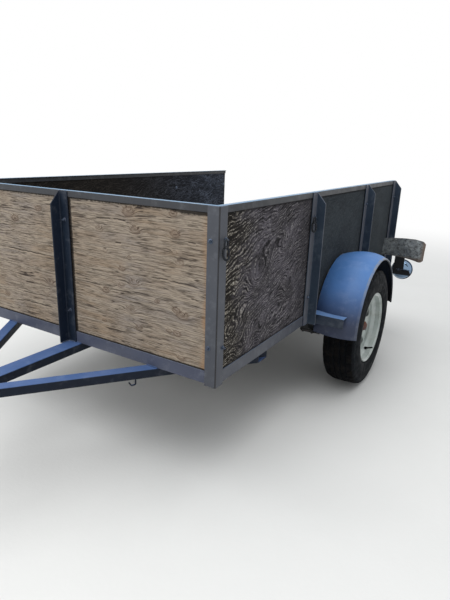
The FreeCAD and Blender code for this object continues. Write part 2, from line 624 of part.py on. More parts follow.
def lamps():
    x = HALF + LAMP_OUT
    y = BED_L - LAMP_AHEAD
    z = LAMP_Z
    r = LAMP_R
    d = LAMP_DEEP
    bowl = bulge((y - d, 14), (y - 8, r - 5))
    rows = [(y - d, 0), (y - d, 14), (*bowl, y - 8, r - 5), (y - 8, r), (y - 1, r), (y + 3, r - 1, y + 4, r - 6), (y, r - 6), (y, 0)]
    both("lamp_shell", revolve("y", rows, (x, z)))
    rows = [(y + 0.3, 0), (y + 0.3, r - 8), (y + 5, r - 8), (*bulge((y + 14, 0), (y + 5, r - 8)), y + 14, 0)]
    both("lamp_lens", revolve("y", rows, (x, z)))
    # Flat bar from the rail, with an upright strap that also holds the plate on the left
    back = y - d - 0.3
    low = z - 31
    high = z + 11
    arm = prism("y", [(SKIN, low), (x + 44, low), (x + 44, high), (SKIN, high)], back - STEEL, back)
    stud = hexagon("y", back - STEEL - 8, (x, z), 16, 8).fuse(rod("y", back - STEEL - 14, (x, z), 5, 6))
    gusset = prism("z", [(SKIN, back), (SKIN + 40, back), (SKIN, back + 40)], z - 10, z - 5)
    right = arm.fuse([stud, gusset])
    strap = prism("y", [(x - 50, high - 6), (x + 22, high - 6), (x + 20, z + 128), (x - 48, z + 128)], back - 2 * STEEL, back - STEEL)
    PARTS["lamp_bracket_l"] = right.fuse(strap).removeSplitter()
    PARTS["lamp_bracket_r"] = mirror(right.removeSplitter())
    plate = box(-PLATE_W / 2, PLATE_W / 2, -1.2, 0, 0, PLATE_H)
    plate.rotate(V(0, 0, 0), V(1, 0, 0), PLATE_LEAN)
    plate.translate(V(x + 2, back - 2 * STEEL - 0.2, z + 102))
    PARTS["number_plate"] = plate


bed_rails()
top_rails()
posts()
panels()
tongue()
coupler()
jack()
fenders()
axle()
springs()
wheels()
lamps()

# Stored frame: the box's middle in X and Y, the ground at Z 0
whole = Part.makeCompound(list(PARTS.values())).BoundBox
shift = V(-(whole.XMin + whole.XMax) / 2, -(whole.YMin + whole.YMax) / 2, -GROUND)
for name, shape in PARTS.items():
    shape.translate(shift)
    bad = "" if shape.isValid() else " NOT VALID"
    bb = shape.BoundBox
    print(f"{name:18s} solids {len(shape.Solids)} vol {shape.Volume / 1000:9.1f} cm3 x {bb.XMin:.1f} {bb.XMax:.1f}"
          f" y {bb.YMin:.1f} {bb.YMax:.1f} z {bb.ZMin:.1f} {bb.ZMax:.1f}{bad}")
    shape.exportStep("parts/" + name + ".step")
print("shift", shift, "size", whole.XLength, whole.YLength, whole.ZLength, "nodes", len(PARTS))
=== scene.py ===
import json
import random
from math import copysign, cos, exp, hypot, pi, radians, sin, sqrt

import bpy
from mathutils import Matrix, Vector

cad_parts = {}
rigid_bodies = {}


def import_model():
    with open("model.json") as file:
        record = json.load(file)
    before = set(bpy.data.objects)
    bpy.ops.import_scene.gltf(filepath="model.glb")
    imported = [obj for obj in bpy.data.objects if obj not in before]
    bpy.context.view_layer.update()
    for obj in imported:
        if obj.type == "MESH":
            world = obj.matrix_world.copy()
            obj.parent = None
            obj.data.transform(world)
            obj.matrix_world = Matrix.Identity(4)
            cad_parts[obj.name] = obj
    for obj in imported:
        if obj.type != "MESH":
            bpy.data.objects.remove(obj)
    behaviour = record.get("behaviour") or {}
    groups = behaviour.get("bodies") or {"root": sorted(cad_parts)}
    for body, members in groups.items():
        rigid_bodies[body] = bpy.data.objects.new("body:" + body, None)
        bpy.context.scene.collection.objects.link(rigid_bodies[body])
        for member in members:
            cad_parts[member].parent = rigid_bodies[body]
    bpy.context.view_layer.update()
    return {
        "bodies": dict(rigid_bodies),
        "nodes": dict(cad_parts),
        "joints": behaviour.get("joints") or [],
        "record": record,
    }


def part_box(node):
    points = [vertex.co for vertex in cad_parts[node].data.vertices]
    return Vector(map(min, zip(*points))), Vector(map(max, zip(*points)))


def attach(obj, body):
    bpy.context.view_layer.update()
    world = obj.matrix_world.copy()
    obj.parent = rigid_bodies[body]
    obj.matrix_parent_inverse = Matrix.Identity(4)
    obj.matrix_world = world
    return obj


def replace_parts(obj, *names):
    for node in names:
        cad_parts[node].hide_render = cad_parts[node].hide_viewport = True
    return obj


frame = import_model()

NODES = frame["nodes"]
random.seed(11)

# The source's own frame, in mm: X to the trailer's left, Y to the rear from the front of the posts,
# Z up from the lower edge of the bed rails. Every piece below is drawn in it.
ORIGIN = Vector((
    (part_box("tongue_tube")[0].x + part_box("tongue_tube")[1].x) / 2,
    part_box("corner_post_l")[0].y,
    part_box("side_rail_l")[0].z,
))


def row(p):
    """Place in metres of a point in mm in the source's frame."""
    return ORIGIN + Vector(p) / 1000


def at_x(x):
    return row((x, 0, 0)).x


def at_y(y):
    return row((0, y, 0)).y


def at_z(z):
    return row((0, 0, z)).z


# Sizes shared with the source, in mm
HALF = 762
STEEL = 4.8
BED_L = 2438
BED_H = 674
RAIL_LEG = 50.8
TOP_LEG = 25.4
PLY = 12.7
DECK = 50.8
TUBE_H = 38.1
TUBE_W = 76.2
AXLE_Y = 1345
AXLE_Z = -114
TYRE_X = 898
TYRE_R = 344
LUG_CIRCLE_R = 57.15
POSTS = (AXLE_Y - 465, AXLE_Y + 397, BED_L)
POST_LEG = 50.8
POST_MID = -43
FENDER_Z = -70
FENDER_R = 362
FENDER_RIM = HALF + 229
SPRING_X = HALF - 44
BRACE_X = 447
BRACE_SLOPE = 0.76
BRACE_HALF = 25.4
TONGUE_FRONT = -1100
LAMP = (916, BED_L - 108, 41)
LAMP_BACK = LAMP[1] - 60.3
PLATE_W = 305
PLATE_H = 152
PLY_LAYER = 0.00508


# Materials

def rgb(r, g, b):
    """Linear colour from its display values out of 255."""
    out = []
    for v in (r, g, b):
        v /= 255
        out.append(v / 12.92 if v <= 0.04045 else ((v + 0.055) / 1.055) ** 2.4)
    return (*out, 1)


class Nodes:
    """A node tree, built one call at a time. Sockets are linked, numbers and colours are set. A colour
    of three values is as the display shows it, out of 255, and one of four is linear."""

    def __init__(self, tree):
        self.tree = tree

    def put(self, socket, value):
        if isinstance(value, bpy.types.NodeSocket):
            self.tree.links.new(value, socket)
        elif socket.type == "RGBA" and len(value) == 3:
            socket.default_value = rgb(*value)
        else:
            socket.default_value = value

    def node(self, kind, settings=(), **values):
        made = self.tree.nodes.new("ShaderNode" + kind)
        for key, value in dict(settings).items():
            setattr(made, key, value)
        for key, value in values.items():
            self.put(made.inputs[key.replace("_", " ")], value)
        return made

    def operate(self, kind, how, a, b):
        made = self.node(kind, {"operation": how})
        self.put(made.inputs[0], a)
        self.put(made.inputs[1], b)
        return made.outputs

    def math(self, how, a, b=0):
        return self.operate("Math", how, a, b)[0]

    def most(self, a, b):
        return self.math("MAXIMUM", a, b)

    def seen(self):
        """1 for what the camera sees, straight or by way of gloss and glass."""
        ray = self.node("LightPath").outputs
        return self.most(ray["Is Camera Ray"], self.most(ray["Is Glossy Ray"], ray["Is Transmission Ray"]))

    def show(self, output, share, a, b):
        """Give the output shader b for its share, and shader a for the rest."""
        blend = self.node("MixShader")
        for socket, value in zip(blend.inputs, (share, a, b)):
            self.put(socket, value)
        self.put(self.tree.nodes[output].inputs[0], blend.outputs[0])


class Shader(Nodes):
    """A material's nodes."""

    def __init__(self, name, values=()):
        self.material = bpy.data.materials.new(name)
        self.material.use_nodes = True
        super().__init__(self.material.node_tree)
        self.surface = self.tree.nodes["Principled BSDF"]
        for key, value in dict(values).items():
            self.surface.inputs[key].default_value = value
        self.place = self.node("TexCoord").outputs["Object"]
        self.x, self.y, self.z = self.node("SeparateXYZ", Vector=self.place).outputs
        self.normal = self.node("NewGeometry").outputs["Normal"]
        self.nx, self.ny, self.nz = self.node("SeparateXYZ", Vector=self.normal).outputs

    def add(self, a, b):
        return self.math("ADD", a, b)

    def times(self, a, b):
        return self.math("MULTIPLY", a, b)

    def sway(self, value, amount):
        """Shift to both sides, from a value between 0 and 1."""
        return self.times(self.add(value, -0.5), amount)

    def gap(self, value, centre):
        """Distance of a value from a centre."""
        return self.math("ABSOLUTE", self.add(value, -centre))

    def vector(self, x, y, z=0):
        return self.node("CombineXYZ", X=x, Y=y, Z=z).outputs[0]

    def stretched(self, x, y, z):
        return self.operate("VectorMath", "MULTIPLY", self.place, (x, y, z))[0]

    def noise(self, scale, detail=3, rough=0.5, at=None, twist=0):
        """Noise from 0 to 1, about 0.5 in the middle."""
        return self.node("TexNoise", Vector=at or self.place, Scale=scale, Detail=detail, Roughness=rough,
                         Distortion=twist).outputs["Fac"]

    def grain(self, u, v, along, across, detail=3, rough=0.6, twist=0):
        """Noise over two coordinates, each with a scale of its own."""
        return self.noise(1, detail, rough, self.vector(self.times(u, along), self.times(v, across)), twist)

    def span(self, value, low, high, to_low=0, to_high=1):
        """Value taken smoothly from one range to another, and held at its ends."""
        made = self.node("MapRange", {"interpolation_type": "SMOOTHSTEP"}, Value=value, From_Min=low,
                         From_Max=high, To_Min=to_low, To_Max=to_high)
        return made.outputs[0]

    def cloud(self, kind, low, high, to_low=0, to_high=1):
        """Span of a noise, which is given as (scale, detail, roughness)."""
        return self.span(self.noise(*kind), low, high, to_low, to_high)

    def mix(self, share, a, b, how="MIX"):
        made = self.node("Mix", {"data_type": "RGBA", "blend_type": how})
        for i, value in ((0, share), (6, a), (7, b)):
            self.put(made.inputs[i], value)
        return made.outputs[2]

    def bump(self, height, depth, under=None):
        made = self.node("Bump", Height=height, Distance=depth, Strength=1)
        if under:
            self.put(made.inputs["Normal"], under)
        return made.outputs[0]

    def soft(self, radius):
        """Normal that is rounded over the edges."""
        return self.node("Bevel", {"samples": 4}, Radius=radius).outputs[0]

    def edge(self, soft):
        """Mask of the worn edges: how far the rounded normal leans from the true one."""
        level = self.operate("VectorMath", "DOT_PRODUCT", soft, self.normal)["Value"]
        return self.span(level, 0.995, 0.86)

    def lay(self, share, colour):
        """Cover the tone so far by a share of a colour."""
        self.tone = self.mix(share, self.tone, colour)

    def done(self, rough, normal):
        for key, value in (("Base Color", self.tone), ("Roughness", rough), ("Normal", normal)):
            self.put(self.surface.inputs[key], value)
        return self.material


def paint(name, colour, rough, rust=0.5, dust=0.12, top=None, front=None, shade=None, rim_wear_and_highlight=None, low=None,
          shine=0.4):
    """Brushed-on satin enamel over steel: uneven tone, dust on top, scuffed and rusty edges. The top tone is
    painted sky light on the faces that look up, the front tone painted shade on the faces that look
    forwards, and low is a pair of heights with a painted shade tone under the first. shade gives the share
    of painted near-black shade, and the rim function the share of a pale grey that is partly rubbed paint
    and partly a painted highlight."""
    s = Shader(name, {"Specular IOR Level": shine})
    base = colour
    # Painted shade: a darker tone on the faces that look forwards
    if front:
        base = s.mix(s.span(s.ny, -0.4, -0.8), base, front)
    # Painted shade: a darker tone under the first height
    if low:
        base = s.mix(s.span(s.z, low[0], low[1]), low[2], base)
    # Painted sky light: a lighter, bluer tone on the faces that look up
    if top:
        base = s.mix(s.span(s.nz, 0.45, 0.85), base, top)
    deep = s.mix(1, base, (0.78, 0.78, 0.8, 1), "MULTIPLY")
    pale = s.mix(0.1, base, (196, 200, 206))
    s.tone = s.mix(s.cloud((3.5, 4, 0.6), 0.3, 0.7), deep, base)
    s.lay(s.times(s.cloud((21, 4, 0.65), 0.5, 0.72), 0.5), pale)
    streak = s.noise(1, 4, 0.65, at=s.stretched(30, 30, 4))
    s.lay(s.times(s.span(streak, 0.5, 0.75), 0.3), deep)
    soft = s.soft(0.003)
    edge = s.edge(soft)
    worn = s.times(edge, s.cloud((38, 5, 0.7), 0.5, 0.64))
    spots = s.times(s.cloud((90, 3, 0.6), 0.7, 0.76), s.cloud((5, 2), 0.5, 0.66))
    rusty = s.mix(s.noise(140, 3, 0.7), (62, 36, 26), (112, 66, 42))
    worn_all = s.times(s.most(worn, spots), rust)
    s.lay(s.times(edge, 0.35), pale)
    s.lay(worn_all, rusty)
    dusty = s.times(s.span(s.nz, 0.55, 0.95), s.cloud((7, 5, 0.7), 0.35, 0.75, 0, dust * 2))
    s.lay(dusty, (150, 142, 130))
    # Pale band of the rim function: partly rubbed paint, partly a painted highlight
    if rim_wear_and_highlight:
        s.lay(rim_wear_and_highlight(s), (128, 134, 144))
    # Painted shade, near black
    if shade:
        s.lay(shade(s), (12, 12, 13))
    gloss = s.cloud((12, 4, 0.6), 0.3, 0.7, rough - 0.06, rough + 0.08)
    gloss = s.add(gloss, s.times(worn_all, 0.3))
    gloss = s.add(gloss, s.times(dusty, 0.25))
    normal = s.bump(s.noise(260, 2), 0.00012, soft)
    normal = s.bump(s.noise(24, 2), 0.0006, normal)
    normal = s.bump(worn_all, -0.0002, normal)
    return s.done(gloss, normal)


def corner_edge_shade(s):
    """Painted shade: a dark line along the upright edge of the corner posts."""
    aside = s.add(HALF / 1000, s.times(s.gap(s.x, at_x(0)), -1))
    behind = s.add(s.y, -at_y(0))
    return s.span(s.most(aside, behind), 0.0052, 0.003, 0, 0.8)


def fender_rim_wear_and_highlight(s):
    """Pale band on the rolled outer edge of the fenders, most at the top and behind: partly rubbed paint,
    partly a painted highlight.
    """
    band = s.span(s.gap(s.x, at_x(0)), (FENDER_RIM - 2) / 1000, (FENDER_RIM + 2) / 1000)
    high = s.span(s.z, at_z(60), at_z(250), 0.3, 1)
    patchy = s.cloud((26, 4, 0.7), 0.38, 0.6, 0.35, 0.95)
    return s.times(band, s.times(high, patchy))


def fender_inside_shade(s):
    """Painted shade: the fender's inner face, near black."""
    back = s.times(s.add(s.y, -at_y(AXLE_Y)), s.ny)
    rise = s.times(s.add(s.z, -at_z(FENDER_Z)), s.nz)
    return s.span(s.add(back, rise), 0.05, -0.05, 0, 0.92)


def rust_over(name, under, share):
    """Bare or thinly painted iron that has rusted in patches."""
    s = Shader(name)
    patches = s.cloud((14, 6, 0.68), 0.62 - share * 0.35, 0.74 - share * 0.3)
    deep = s.mix(s.noise(70, 4, 0.7), (58, 32, 22), (122, 66, 38))
    deep = s.mix(s.cloud((230, 2), 0.5, 0.75), deep, (150, 92, 55))
    under = rgb(*under)
    lighter = (*[c * 1.35 for c in under[:3]], 1)
    s.tone = s.mix(s.cloud((9, 3), 0.3, 0.7), under, lighter)
    s.lay(patches, deep)
    dusty = s.times(s.span(s.nz, 0.4, 0.95), s.cloud((8, 4), 0.3, 0.8, 0, 0.35))
    s.lay(dusty, (128, 112, 92))
    soft = s.soft(0.002)
    normal = s.bump(s.noise(180, 5, 0.7), 0.0005, soft)
    return s.done(s.span(patches, 0, 1, 0.42, 0.88), normal)


def zinc(name, tone_value=(150, 150, 146), dull=0.42, rust=0.3):
    """Dulled zinc plate: fine cloudy tone, white bloom in patches, a little rust at the edges."""
    s = Shader(name, {"Metallic": 0.85})
    plain, dark, bloom = [tuple(v * part for v in tone_value) for part in (1, 0.84, 1.18)]
    s.tone = s.mix(s.cloud((140, 4, 0.7), 0.36, 0.64), plain, dark)
    s.lay(s.cloud((13, 4, 0.6), 0.5, 0.7, 0, 0.35), bloom)
    s.lay(s.times(s.cloud((40, 5, 0.7), 0.6, 0.72), rust), (104, 62, 40))
    soft = s.soft(0.0015)
    edge = s.edge(soft)
    s.lay(s.times(s.times(edge, rust), s.cloud((60, 3), 0.45, 0.6)), (96, 60, 42))
    normal = s.bump(s.noise(320), 0.00015, soft)
    return s.done(s.cloud((60, 3), 0.3, 0.7, dull - 0.06, dull + 0.16), normal)


def chrome(name):
    """Bright plating, hazed in places, with small pits."""
    s = Shader(name, {"Metallic": 1})
    haze = s.cloud((11, 5, 0.7), 0.5, 0.8, 0.035, 0.22)
    pits = s.cloud((420, 2), 0.7, 0.78)
    s.tone = s.mix(s.times(pits, 0.7), (120, 142, 166), (96, 70, 52))
    return s.done(s.add(haze, s.times(pits, 0.4)), s.bump(pits, -0.0001))


def lens(name):
    """Moulded red plastic under a clear skin, dusty in patches."""
    s = Shader(name, {"Coat Weight": 0.6, "Coat Roughness": 0.08, "Specular IOR Level": 0.6})
    s.tone = s.mix(s.cloud((30, 3), 0.3, 0.7), (150, 14, 12), (186, 26, 18))
    s.lay(s.cloud((5, 4), 0.55, 0.8, 0, 0.25), (150, 110, 96))
    gloss = s.cloud((80, 3), 0.3, 0.7, 0.12, 0.26)
    return s.done(gloss, s.bump(s.noise(600, 2), 0.00005))


def rubber(name):
    """Tyre rubber: black, greyer on the sidewall, with a little brown dust in the tread."""
    s = Shader(name, {"Specular IOR Level": 0.05})
    across = s.math("ABSOLUTE", s.nx)
    s.tone = s.mix(s.cloud((18, 5, 0.65), 0.3, 0.75), (5, 6, 8), (10, 11, 14))
    s.lay(s.span(across, 0.35, 0.85, 0, 0.75), (15, 19, 24))
    dy = s.add(s.y, -at_y(AXLE_Y))
    dz = s.add(s.z, -at_z(AXLE_Z))
    out = s.math("SQRT", s.add(s.times(dy, dy), s.times(dz, dz)))
    for ring in (0.2152, 0.2585, 0.3066, 0.3146):
        rubbed = s.span(s.gap(out, ring), 0.0022, 0.0008, 0, 0.55)
        s.lay(s.times(rubbed, s.span(across, 0.3, 0.6)), (50, 54, 58))
    dust = s.times(s.cloud((26, 5, 0.7), 0.4, 0.78), s.span(across, 0.9, 0.15, 0.04, 0.12))
    s.lay(dust, (84, 74, 62))
    scuffs = s.cloud((150, 3, 0.6), 0.64, 0.76, 0, 0.3)
    s.lay(scuffs, (46, 46, 48))
    normal = s.bump(s.noise(500), 0.0002)
    normal = s.bump(s.noise(45), 0.0006, normal)
    return s.done(s.cloud((33, 3), 0.3, 0.7, 0.55, 0.78), normal)


def wheel_enamel(name):
    """Greyed white enamel with road film, rust spots and chipped edges."""
    s = Shader(name, {"Specular IOR Level": 0.5})
    s.tone = s.mix(s.cloud((9, 4, 0.6), 0.3, 0.7), (164, 173, 170), (186, 193, 190))
    film = s.cloud((13, 6, 0.7), 0.44, 0.74, 0, 0.55)
    s.lay(film, (122, 122, 110))
    soft = s.soft(0.003)
    edge = s.edge(soft)
    chips = s.times(edge, s.cloud((75, 4, 0.7), 0.54, 0.62, 0, 0.8))
    spots = s.cloud((120, 2), 0.73, 0.77, 0, 0.7)
    s.lay(s.most(chips, spots), (88, 54, 38))
    normal = s.bump(s.noise(300, 2), 0.0001, soft)
    return s.done(s.span(film, 0, 0.5, 0.34, 0.6), normal)


def aluminium(name):
    """Weathered bare plate, dark with grime."""
    s = Shader(name, {"Metallic": 0.35})
    s.tone = s.mix(s.cloud((22, 5, 0.7), 0.35, 0.7), (92, 98, 104), (134, 140, 142))
    grime = s.cloud((48, 5, 0.75), 0.46, 0.62, 0, 0.8)
    s.lay(grime, (52, 52, 52))
    s.lay(s.cloud((9, 4, 0.7), 0.5, 0.66, 0, 0.7), (74, 66, 60))
    end = s.span(s.x, at_x(1030), at_x(1064))
    foot = s.span(s.z, at_z(158), at_z(134), 0, 0.8)
    brown = s.mix(s.noise(60, 4, 0.7), (58, 48, 42), (118, 98, 84))
    s.lay(s.most(end, foot), brown)
    scratch = s.noise(60, 2, at=s.vector(s.x, s.y, s.times(s.z, 14)))
    s.lay(s.span(scratch, 0.6, 0.68, 0, 0.4), (160, 160, 156))
    soft = s.soft(0.002)
    edge = s.edge(soft)
    s.lay(s.times(edge, 0.5), (150, 146, 138))
    normal = s.bump(s.noise(90, 4, 0.6), 0.0006, soft)
    return s.done(s.span(grime, 0, 0.75, 0.42, 0.75), normal)


# Plywood. Grain follows the level curves of one field over the sheet: its height, waved by noise and
# lifted round each knot.

def grain_field(s, u, v, figure, knots, lift, wide=1.7):
    """figure has rows of (scale along, scale across, height in metres). Also returns the knots' share."""
    field = v
    for along, across, amount in figure:
        field = s.add(field, s.sway(s.grain(u, v, along, across, 3, 0.5), amount))
    core = None
    for ku, kv, size in knots:
        du = s.times(s.add(u, -ku), 1 / (size * wide))
        dv = s.times(s.add(v, -kv), 1 / size)
        near = s.math("POWER", 2.718, s.times(s.add(s.times(du, du), s.times(dv, dv)), -1))
        field = s.add(field, s.times(near, size * lift))
        core = near if core is None else s.most(core, near)
    return field, core


def ply_edges(s, across, normal):
    """Layers on the sheet's edges: across runs through its thickness, with the normal's part that way."""
    facing = s.span(s.math("ABSOLUTE", normal), 0.4, 0.2)
    layers = s.math("SINE", s.times(across, 2 * pi / PLY_LAYER))
    s.lay(facing, s.mix(s.span(layers, -0.4, 0.4), (70, 58, 46), (128, 108, 86)))


def long_split(s, u, v, a, b, wobble):
    """Masks of a crack from point a to point b: the dark line, and the pale lip under it."""
    t = s.times(s.add(u, -a[0]), 1 / (b[0] - a[0]))
    line = s.add(s.times(t, b[1] - a[1]), a[1])
    off = s.add(s.add(v, s.times(line, -1)), wobble)
    ends = s.times(s.span(t, 0, 0.18), s.span(t, 1, 0.82))
    taper = s.times(s.add(ends, -1), -0.0034)
    dark = s.span(s.add(s.math("ABSOLUTE", off), taper), 0.0032, 0.0012)
    lip = s.times(s.span(s.gap(off, -0.006), 0.005, 0.001), ends)
    return dark, lip


def front_plywood(name):
    """Sun-bleached, wind-worn face: fine dark lines and fibres that run round many small knots."""
    s = Shader(name, {"Specular IOR Level": 0.2})
    u, v = s.x, s.z
    figure = ((1.6, 4, 0.026), (9, 26, 0.006), (34, 60, 0.002))
    field, core = grain_field(s, u, v, figure, FRONT_KNOTS, 1.3, 1.6)
    bands = s.grain(u, field, 2.4, 40)
    fibre = s.grain(u, field, 16, 230, 4, 0.72)
    dash = s.grain(u, field, 10, 125, 3, 0.62)
    lines = []
    for along, across, wide in ((2.8, 74, 0.026), (5, 140, 0.05)):
        level = s.grain(u, field, along, across, 1.5, 0.5)
        broken = s.grain(u, v, along * 3.4, across * 0.8, 2.5, 0.6)
        off = s.gap(level, 0.5)
        thin = s.span(s.add(off, s.sway(fibre, wide * 1.6)), wide, wide * 0.2)
        lines.append(s.times(thin, s.span(broken, 0.42, 0.56)))
    warm = s.cloud((2.3, 4, 0.6), 0.36, 0.62)
    s.tone = s.mix(warm, (139, 131, 124), (144, 127, 108))
    s.tone = s.mix(s.span(bands, 0.36, 0.64), (154, 142, 127), s.tone)
    s.lay(s.span(fibre, 0.42, 0.62, 0, 0.6), (100, 89, 78))
    marks = s.most(lines[0], s.times(lines[1], 0.7))
    strong = s.cloud((3.7, 3, 0.5), 0.34, 0.6, 0.75, 1)
    s.lay(s.times(marks, strong), (54, 45, 40))
    s.lay(s.span(dash, 0.71, 0.77, 0, 0.8), (36, 30, 28))
    clear = s.cloud((6, 2), 0.35, 0.6, 0.5, 1)
    s.lay(s.times(s.span(core, 0.1, 0.6, 0, 0.26), clear), (110, 90, 76))
    eye = s.add(core, s.sway(fibre, 1.8))
    ring = s.times(s.span(s.gap(eye, 0.5), 0.18, 0.04, 0, 0.6), s.span(core, 0.16, 0.36))
    ring = s.most(ring, s.span(eye, 0.84, 1.1, 0, 0.7))
    s.lay(s.times(ring, clear), (74, 56, 46))
    wobble = s.sway(s.noise(24), 0.012)
    split = None
    for a, b in FRONT_SPLITS:
        dark, lip = long_split(s, u, v, a, b, wobble)
        s.lay(s.times(lip, 0.5), (172, 158, 140))
        s.lay(s.times(dark, 0.8), (50, 41, 36))
        split = dark if split is None else s.most(split, dark)
    # Tan of the less weathered wood beside the left corner post
    at = s.add(u, s.sway(s.noise(9, 4), 0.06))
    beside = s.span(at, at_x(678), at_x(712))
    share = s.times(beside, s.span(v, at_z(600), at_z(300), 0.25, 0.62))
    s.lay(share, (152, 114, 78))
    # Painted shade where the sheet meets the rails and the middle post
    ragged = s.sway(s.noise(70, 3, 0.7), 0.018)
    top = at_z(BED_H - TOP_LEG)
    torn = s.span(u, at_x(540), at_x(620), 0, 0.008)
    under = s.span(s.add(s.add(v, ragged), torn), top - 0.01, top - 0.003)
    low = at_z(RAIL_LEG)
    foot = s.span(s.add(v, s.times(ragged, 0.4)), low + 0.0085, low + 0.0045)
    post = at_x(POST_MID + POST_LEG)
    beside = s.span(s.add(u, ragged), post + 0.014, post + 0.006)
    beside = s.times(beside, s.span(u, post - 0.06, post - 0.05))
    shade_at_frame = s.most(under, s.most(foot, beside))
    s.lay(s.times(shade_at_frame, 0.9), (20, 18, 18))
    inside = s.span(s.ny, -0.2, 0.2)
    s.lay(inside, s.mix(s.span(fibre, 0.35, 0.7), (62, 60, 60), (36, 35, 37)))
    ply_edges(s, s.y, s.ny)
    normal = s.bump(fibre, 0.0006)
    normal = s.bump(marks, -0.001, normal)
    normal = s.bump(split, -0.002, normal)
    return s.done(s.span(fibre, 0.3, 0.7, 0.82, 0.95), normal)


def side_plywood(name, outward):
    """Dark, weathered sheet: ragged grain in swirls, black with pale raised fibres by the front corner,
    greyer behind it and plain from the first post on. The inner face has a finer, fainter figure."""
    s = Shader(name, {"Specular IOR Level": 0.15})
    u, v = s.y, s.z
    tilted = s.add(v, s.times(u, -0.3))
    figure = ((2.3, 3.2, 0.2), (8, 11, 0.055), (24, 30, 0.02), (80, 100, 0.008))
    field = grain_field(s, u, tilted, figure, SIDE_EYES, 1.5, 1.3)[0]
    speck = s.grain(u, v, 85, 120, 3, 0.7)
    patch = s.grain(u, v, 6, 8)
    fine = s.grain(u, field, 45, 210, 4, 0.75)
    level = s.grain(u, field, 7, 75)
    torn = s.grain(u, field, 16, 105, 3, 0.65)
    ring = s.math("SINE", s.add(s.times(field, 2 * pi / 0.0145), s.times(level, 8)))
    ring = s.add(s.times(ring, 0.55), s.add(s.sway(torn, 5), s.sway(speck, 2.4)))
    crest = s.span(ring, 0.1, 0.95)
    trough = s.span(ring, -0.05, -0.85)
    blotch = s.span(patch, 0.36, 0.62)
    # By the corner
    s.tone = s.mix(s.span(fine, 0.36, 0.66), (22, 20, 18), (46, 41, 37))
    s.lay(s.times(crest, s.span(patch, 0.34, 0.56, 0.5, 1)), (148, 141, 129))
    s.lay(s.times(trough, 0.7), (12, 11, 10))
    s.lay(s.times(crest, s.span(speck, 0.54, 0.66, 0, 0.9)), (208, 203, 192))
    near = s.tone
    # Between it and the first post
    s.tone = s.mix(blotch, (68, 65, 69), (98, 94, 101))
    s.lay(s.span(fine, 0.38, 0.68, 0, 0.6), (42, 40, 42))
    s.lay(s.times(trough, 0.95), (20, 19, 21))
    s.lay(s.times(crest, s.span(speck, 0.44, 0.62, 0.15, 0.9)), (150, 146, 147))
    mid = s.tone
    # The rear bays
    weave = s.grain(u, v, 110, 55, 3, 0.75)
    s.tone = s.mix(blotch, (38, 43, 48), (50, 56, 61))
    s.lay(s.times(s.span(weave, 0.42, 0.62), 0.65), (64, 70, 74))
    s.lay(s.times(trough, 0.4), (22, 25, 28))
    rear = s.tone
    to_near = s.span(s.add(u, s.sway(patch, 0.3)), at_y(330), at_y(60))
    before = at_y(POSTS[0])
    s.tone = s.mix(to_near, mid, near)
    # Painted shade: the sheet darkens towards the first post
    s.lay(s.span(u, before - 0.32, before - 0.03, 0, 0.55), (34, 34, 37))
    s.lay(s.span(u, before - 0.004, before + 0.004), rear)
    # Painted shade along the rails
    top = at_z(BED_H - TOP_LEG)
    low = at_z(RAIL_LEG)
    edge = s.add(v, s.sway(s.noise(60, 3, 0.7), 0.012))
    shade_at_frame = s.most(s.span(edge, top - 0.014, top - 0.004), s.span(edge, low + 0.012, low + 0.003))
    s.lay(s.times(shade_at_frame, 0.7), (18, 17, 17))
    # Inner face
    outer = s.tone
    back = s.span(u, at_y(900), at_y(2200))
    curl = s.grain(u, v, 18, 34, 3, 0.65, 1.3)
    curl = s.times(s.span(s.gap(curl, 0.5), 0.045, 0.01), s.times(blotch, 0.8))
    s.tone = s.mix(s.span(fine, 0.36, 0.66), (16, 15, 15), s.mix(back, (38, 35, 33), (36, 42, 54)))
    raised = s.times(s.most(s.times(crest, 0.6), curl), s.span(back, 0, 1, 0.55, 0.9))
    s.lay(raised, s.mix(back, (82, 77, 71), (106, 115, 132)))
    s.tone = s.mix(s.span(s.times(s.nx, outward), 0.2, -0.2), outer, s.tone)
    ply_edges(s, s.x, s.nx)
    normal = s.bump(fine, 0.0005)
    normal = s.bump(crest, 0.0014, normal)
    return s.done(s.span(fine, 0.3, 0.7, 0.8, 0.95), normal)


def floor_plywood(name):
    """Walked-on bed floor: dull brown-grey, scuffed along the bed, with a dark seam along it."""
    s = Shader(name, {"Specular IOR Level": 0.22})
    u, v = s.y, s.x
    field, core = grain_field(s, u, v, ((1.2, 5, 0.05), (9, 26, 0.01)), FLOOR_KNOTS, 1.4)
    bands = s.grain(u, field, 2.5, 30)
    fibre = s.grain(u, field, 18, 240, 4, 0.7)
    s.tone = s.mix(s.span(bands, 0.36, 0.66), (112, 105, 97), (86, 79, 72))
    s.lay(s.span(fibre, 0.42, 0.7, 0, 0.7), (52, 46, 42))
    s.lay(s.span(core, 0.4, 0.9, 0, 0.6), (58, 44, 36))
    s.lay(s.cloud((4, 5, 0.7), 0.52, 0.72, 0, 0.5), (62, 58, 54))
    seam = s.gap(s.x, at_x(457))
    s.lay(s.span(seam, 0.0026, 0.0012, 0, 0.9), (18, 16, 15))
    ply_edges(s, s.z, s.nz)
    normal = s.bump(fibre, 0.0005)
    normal = s.bump(s.span(seam, 0.004, 0.001), -0.002, normal)
    return s.done(s.span(fibre, 0.3, 0.7, 0.82, 0.95), normal)


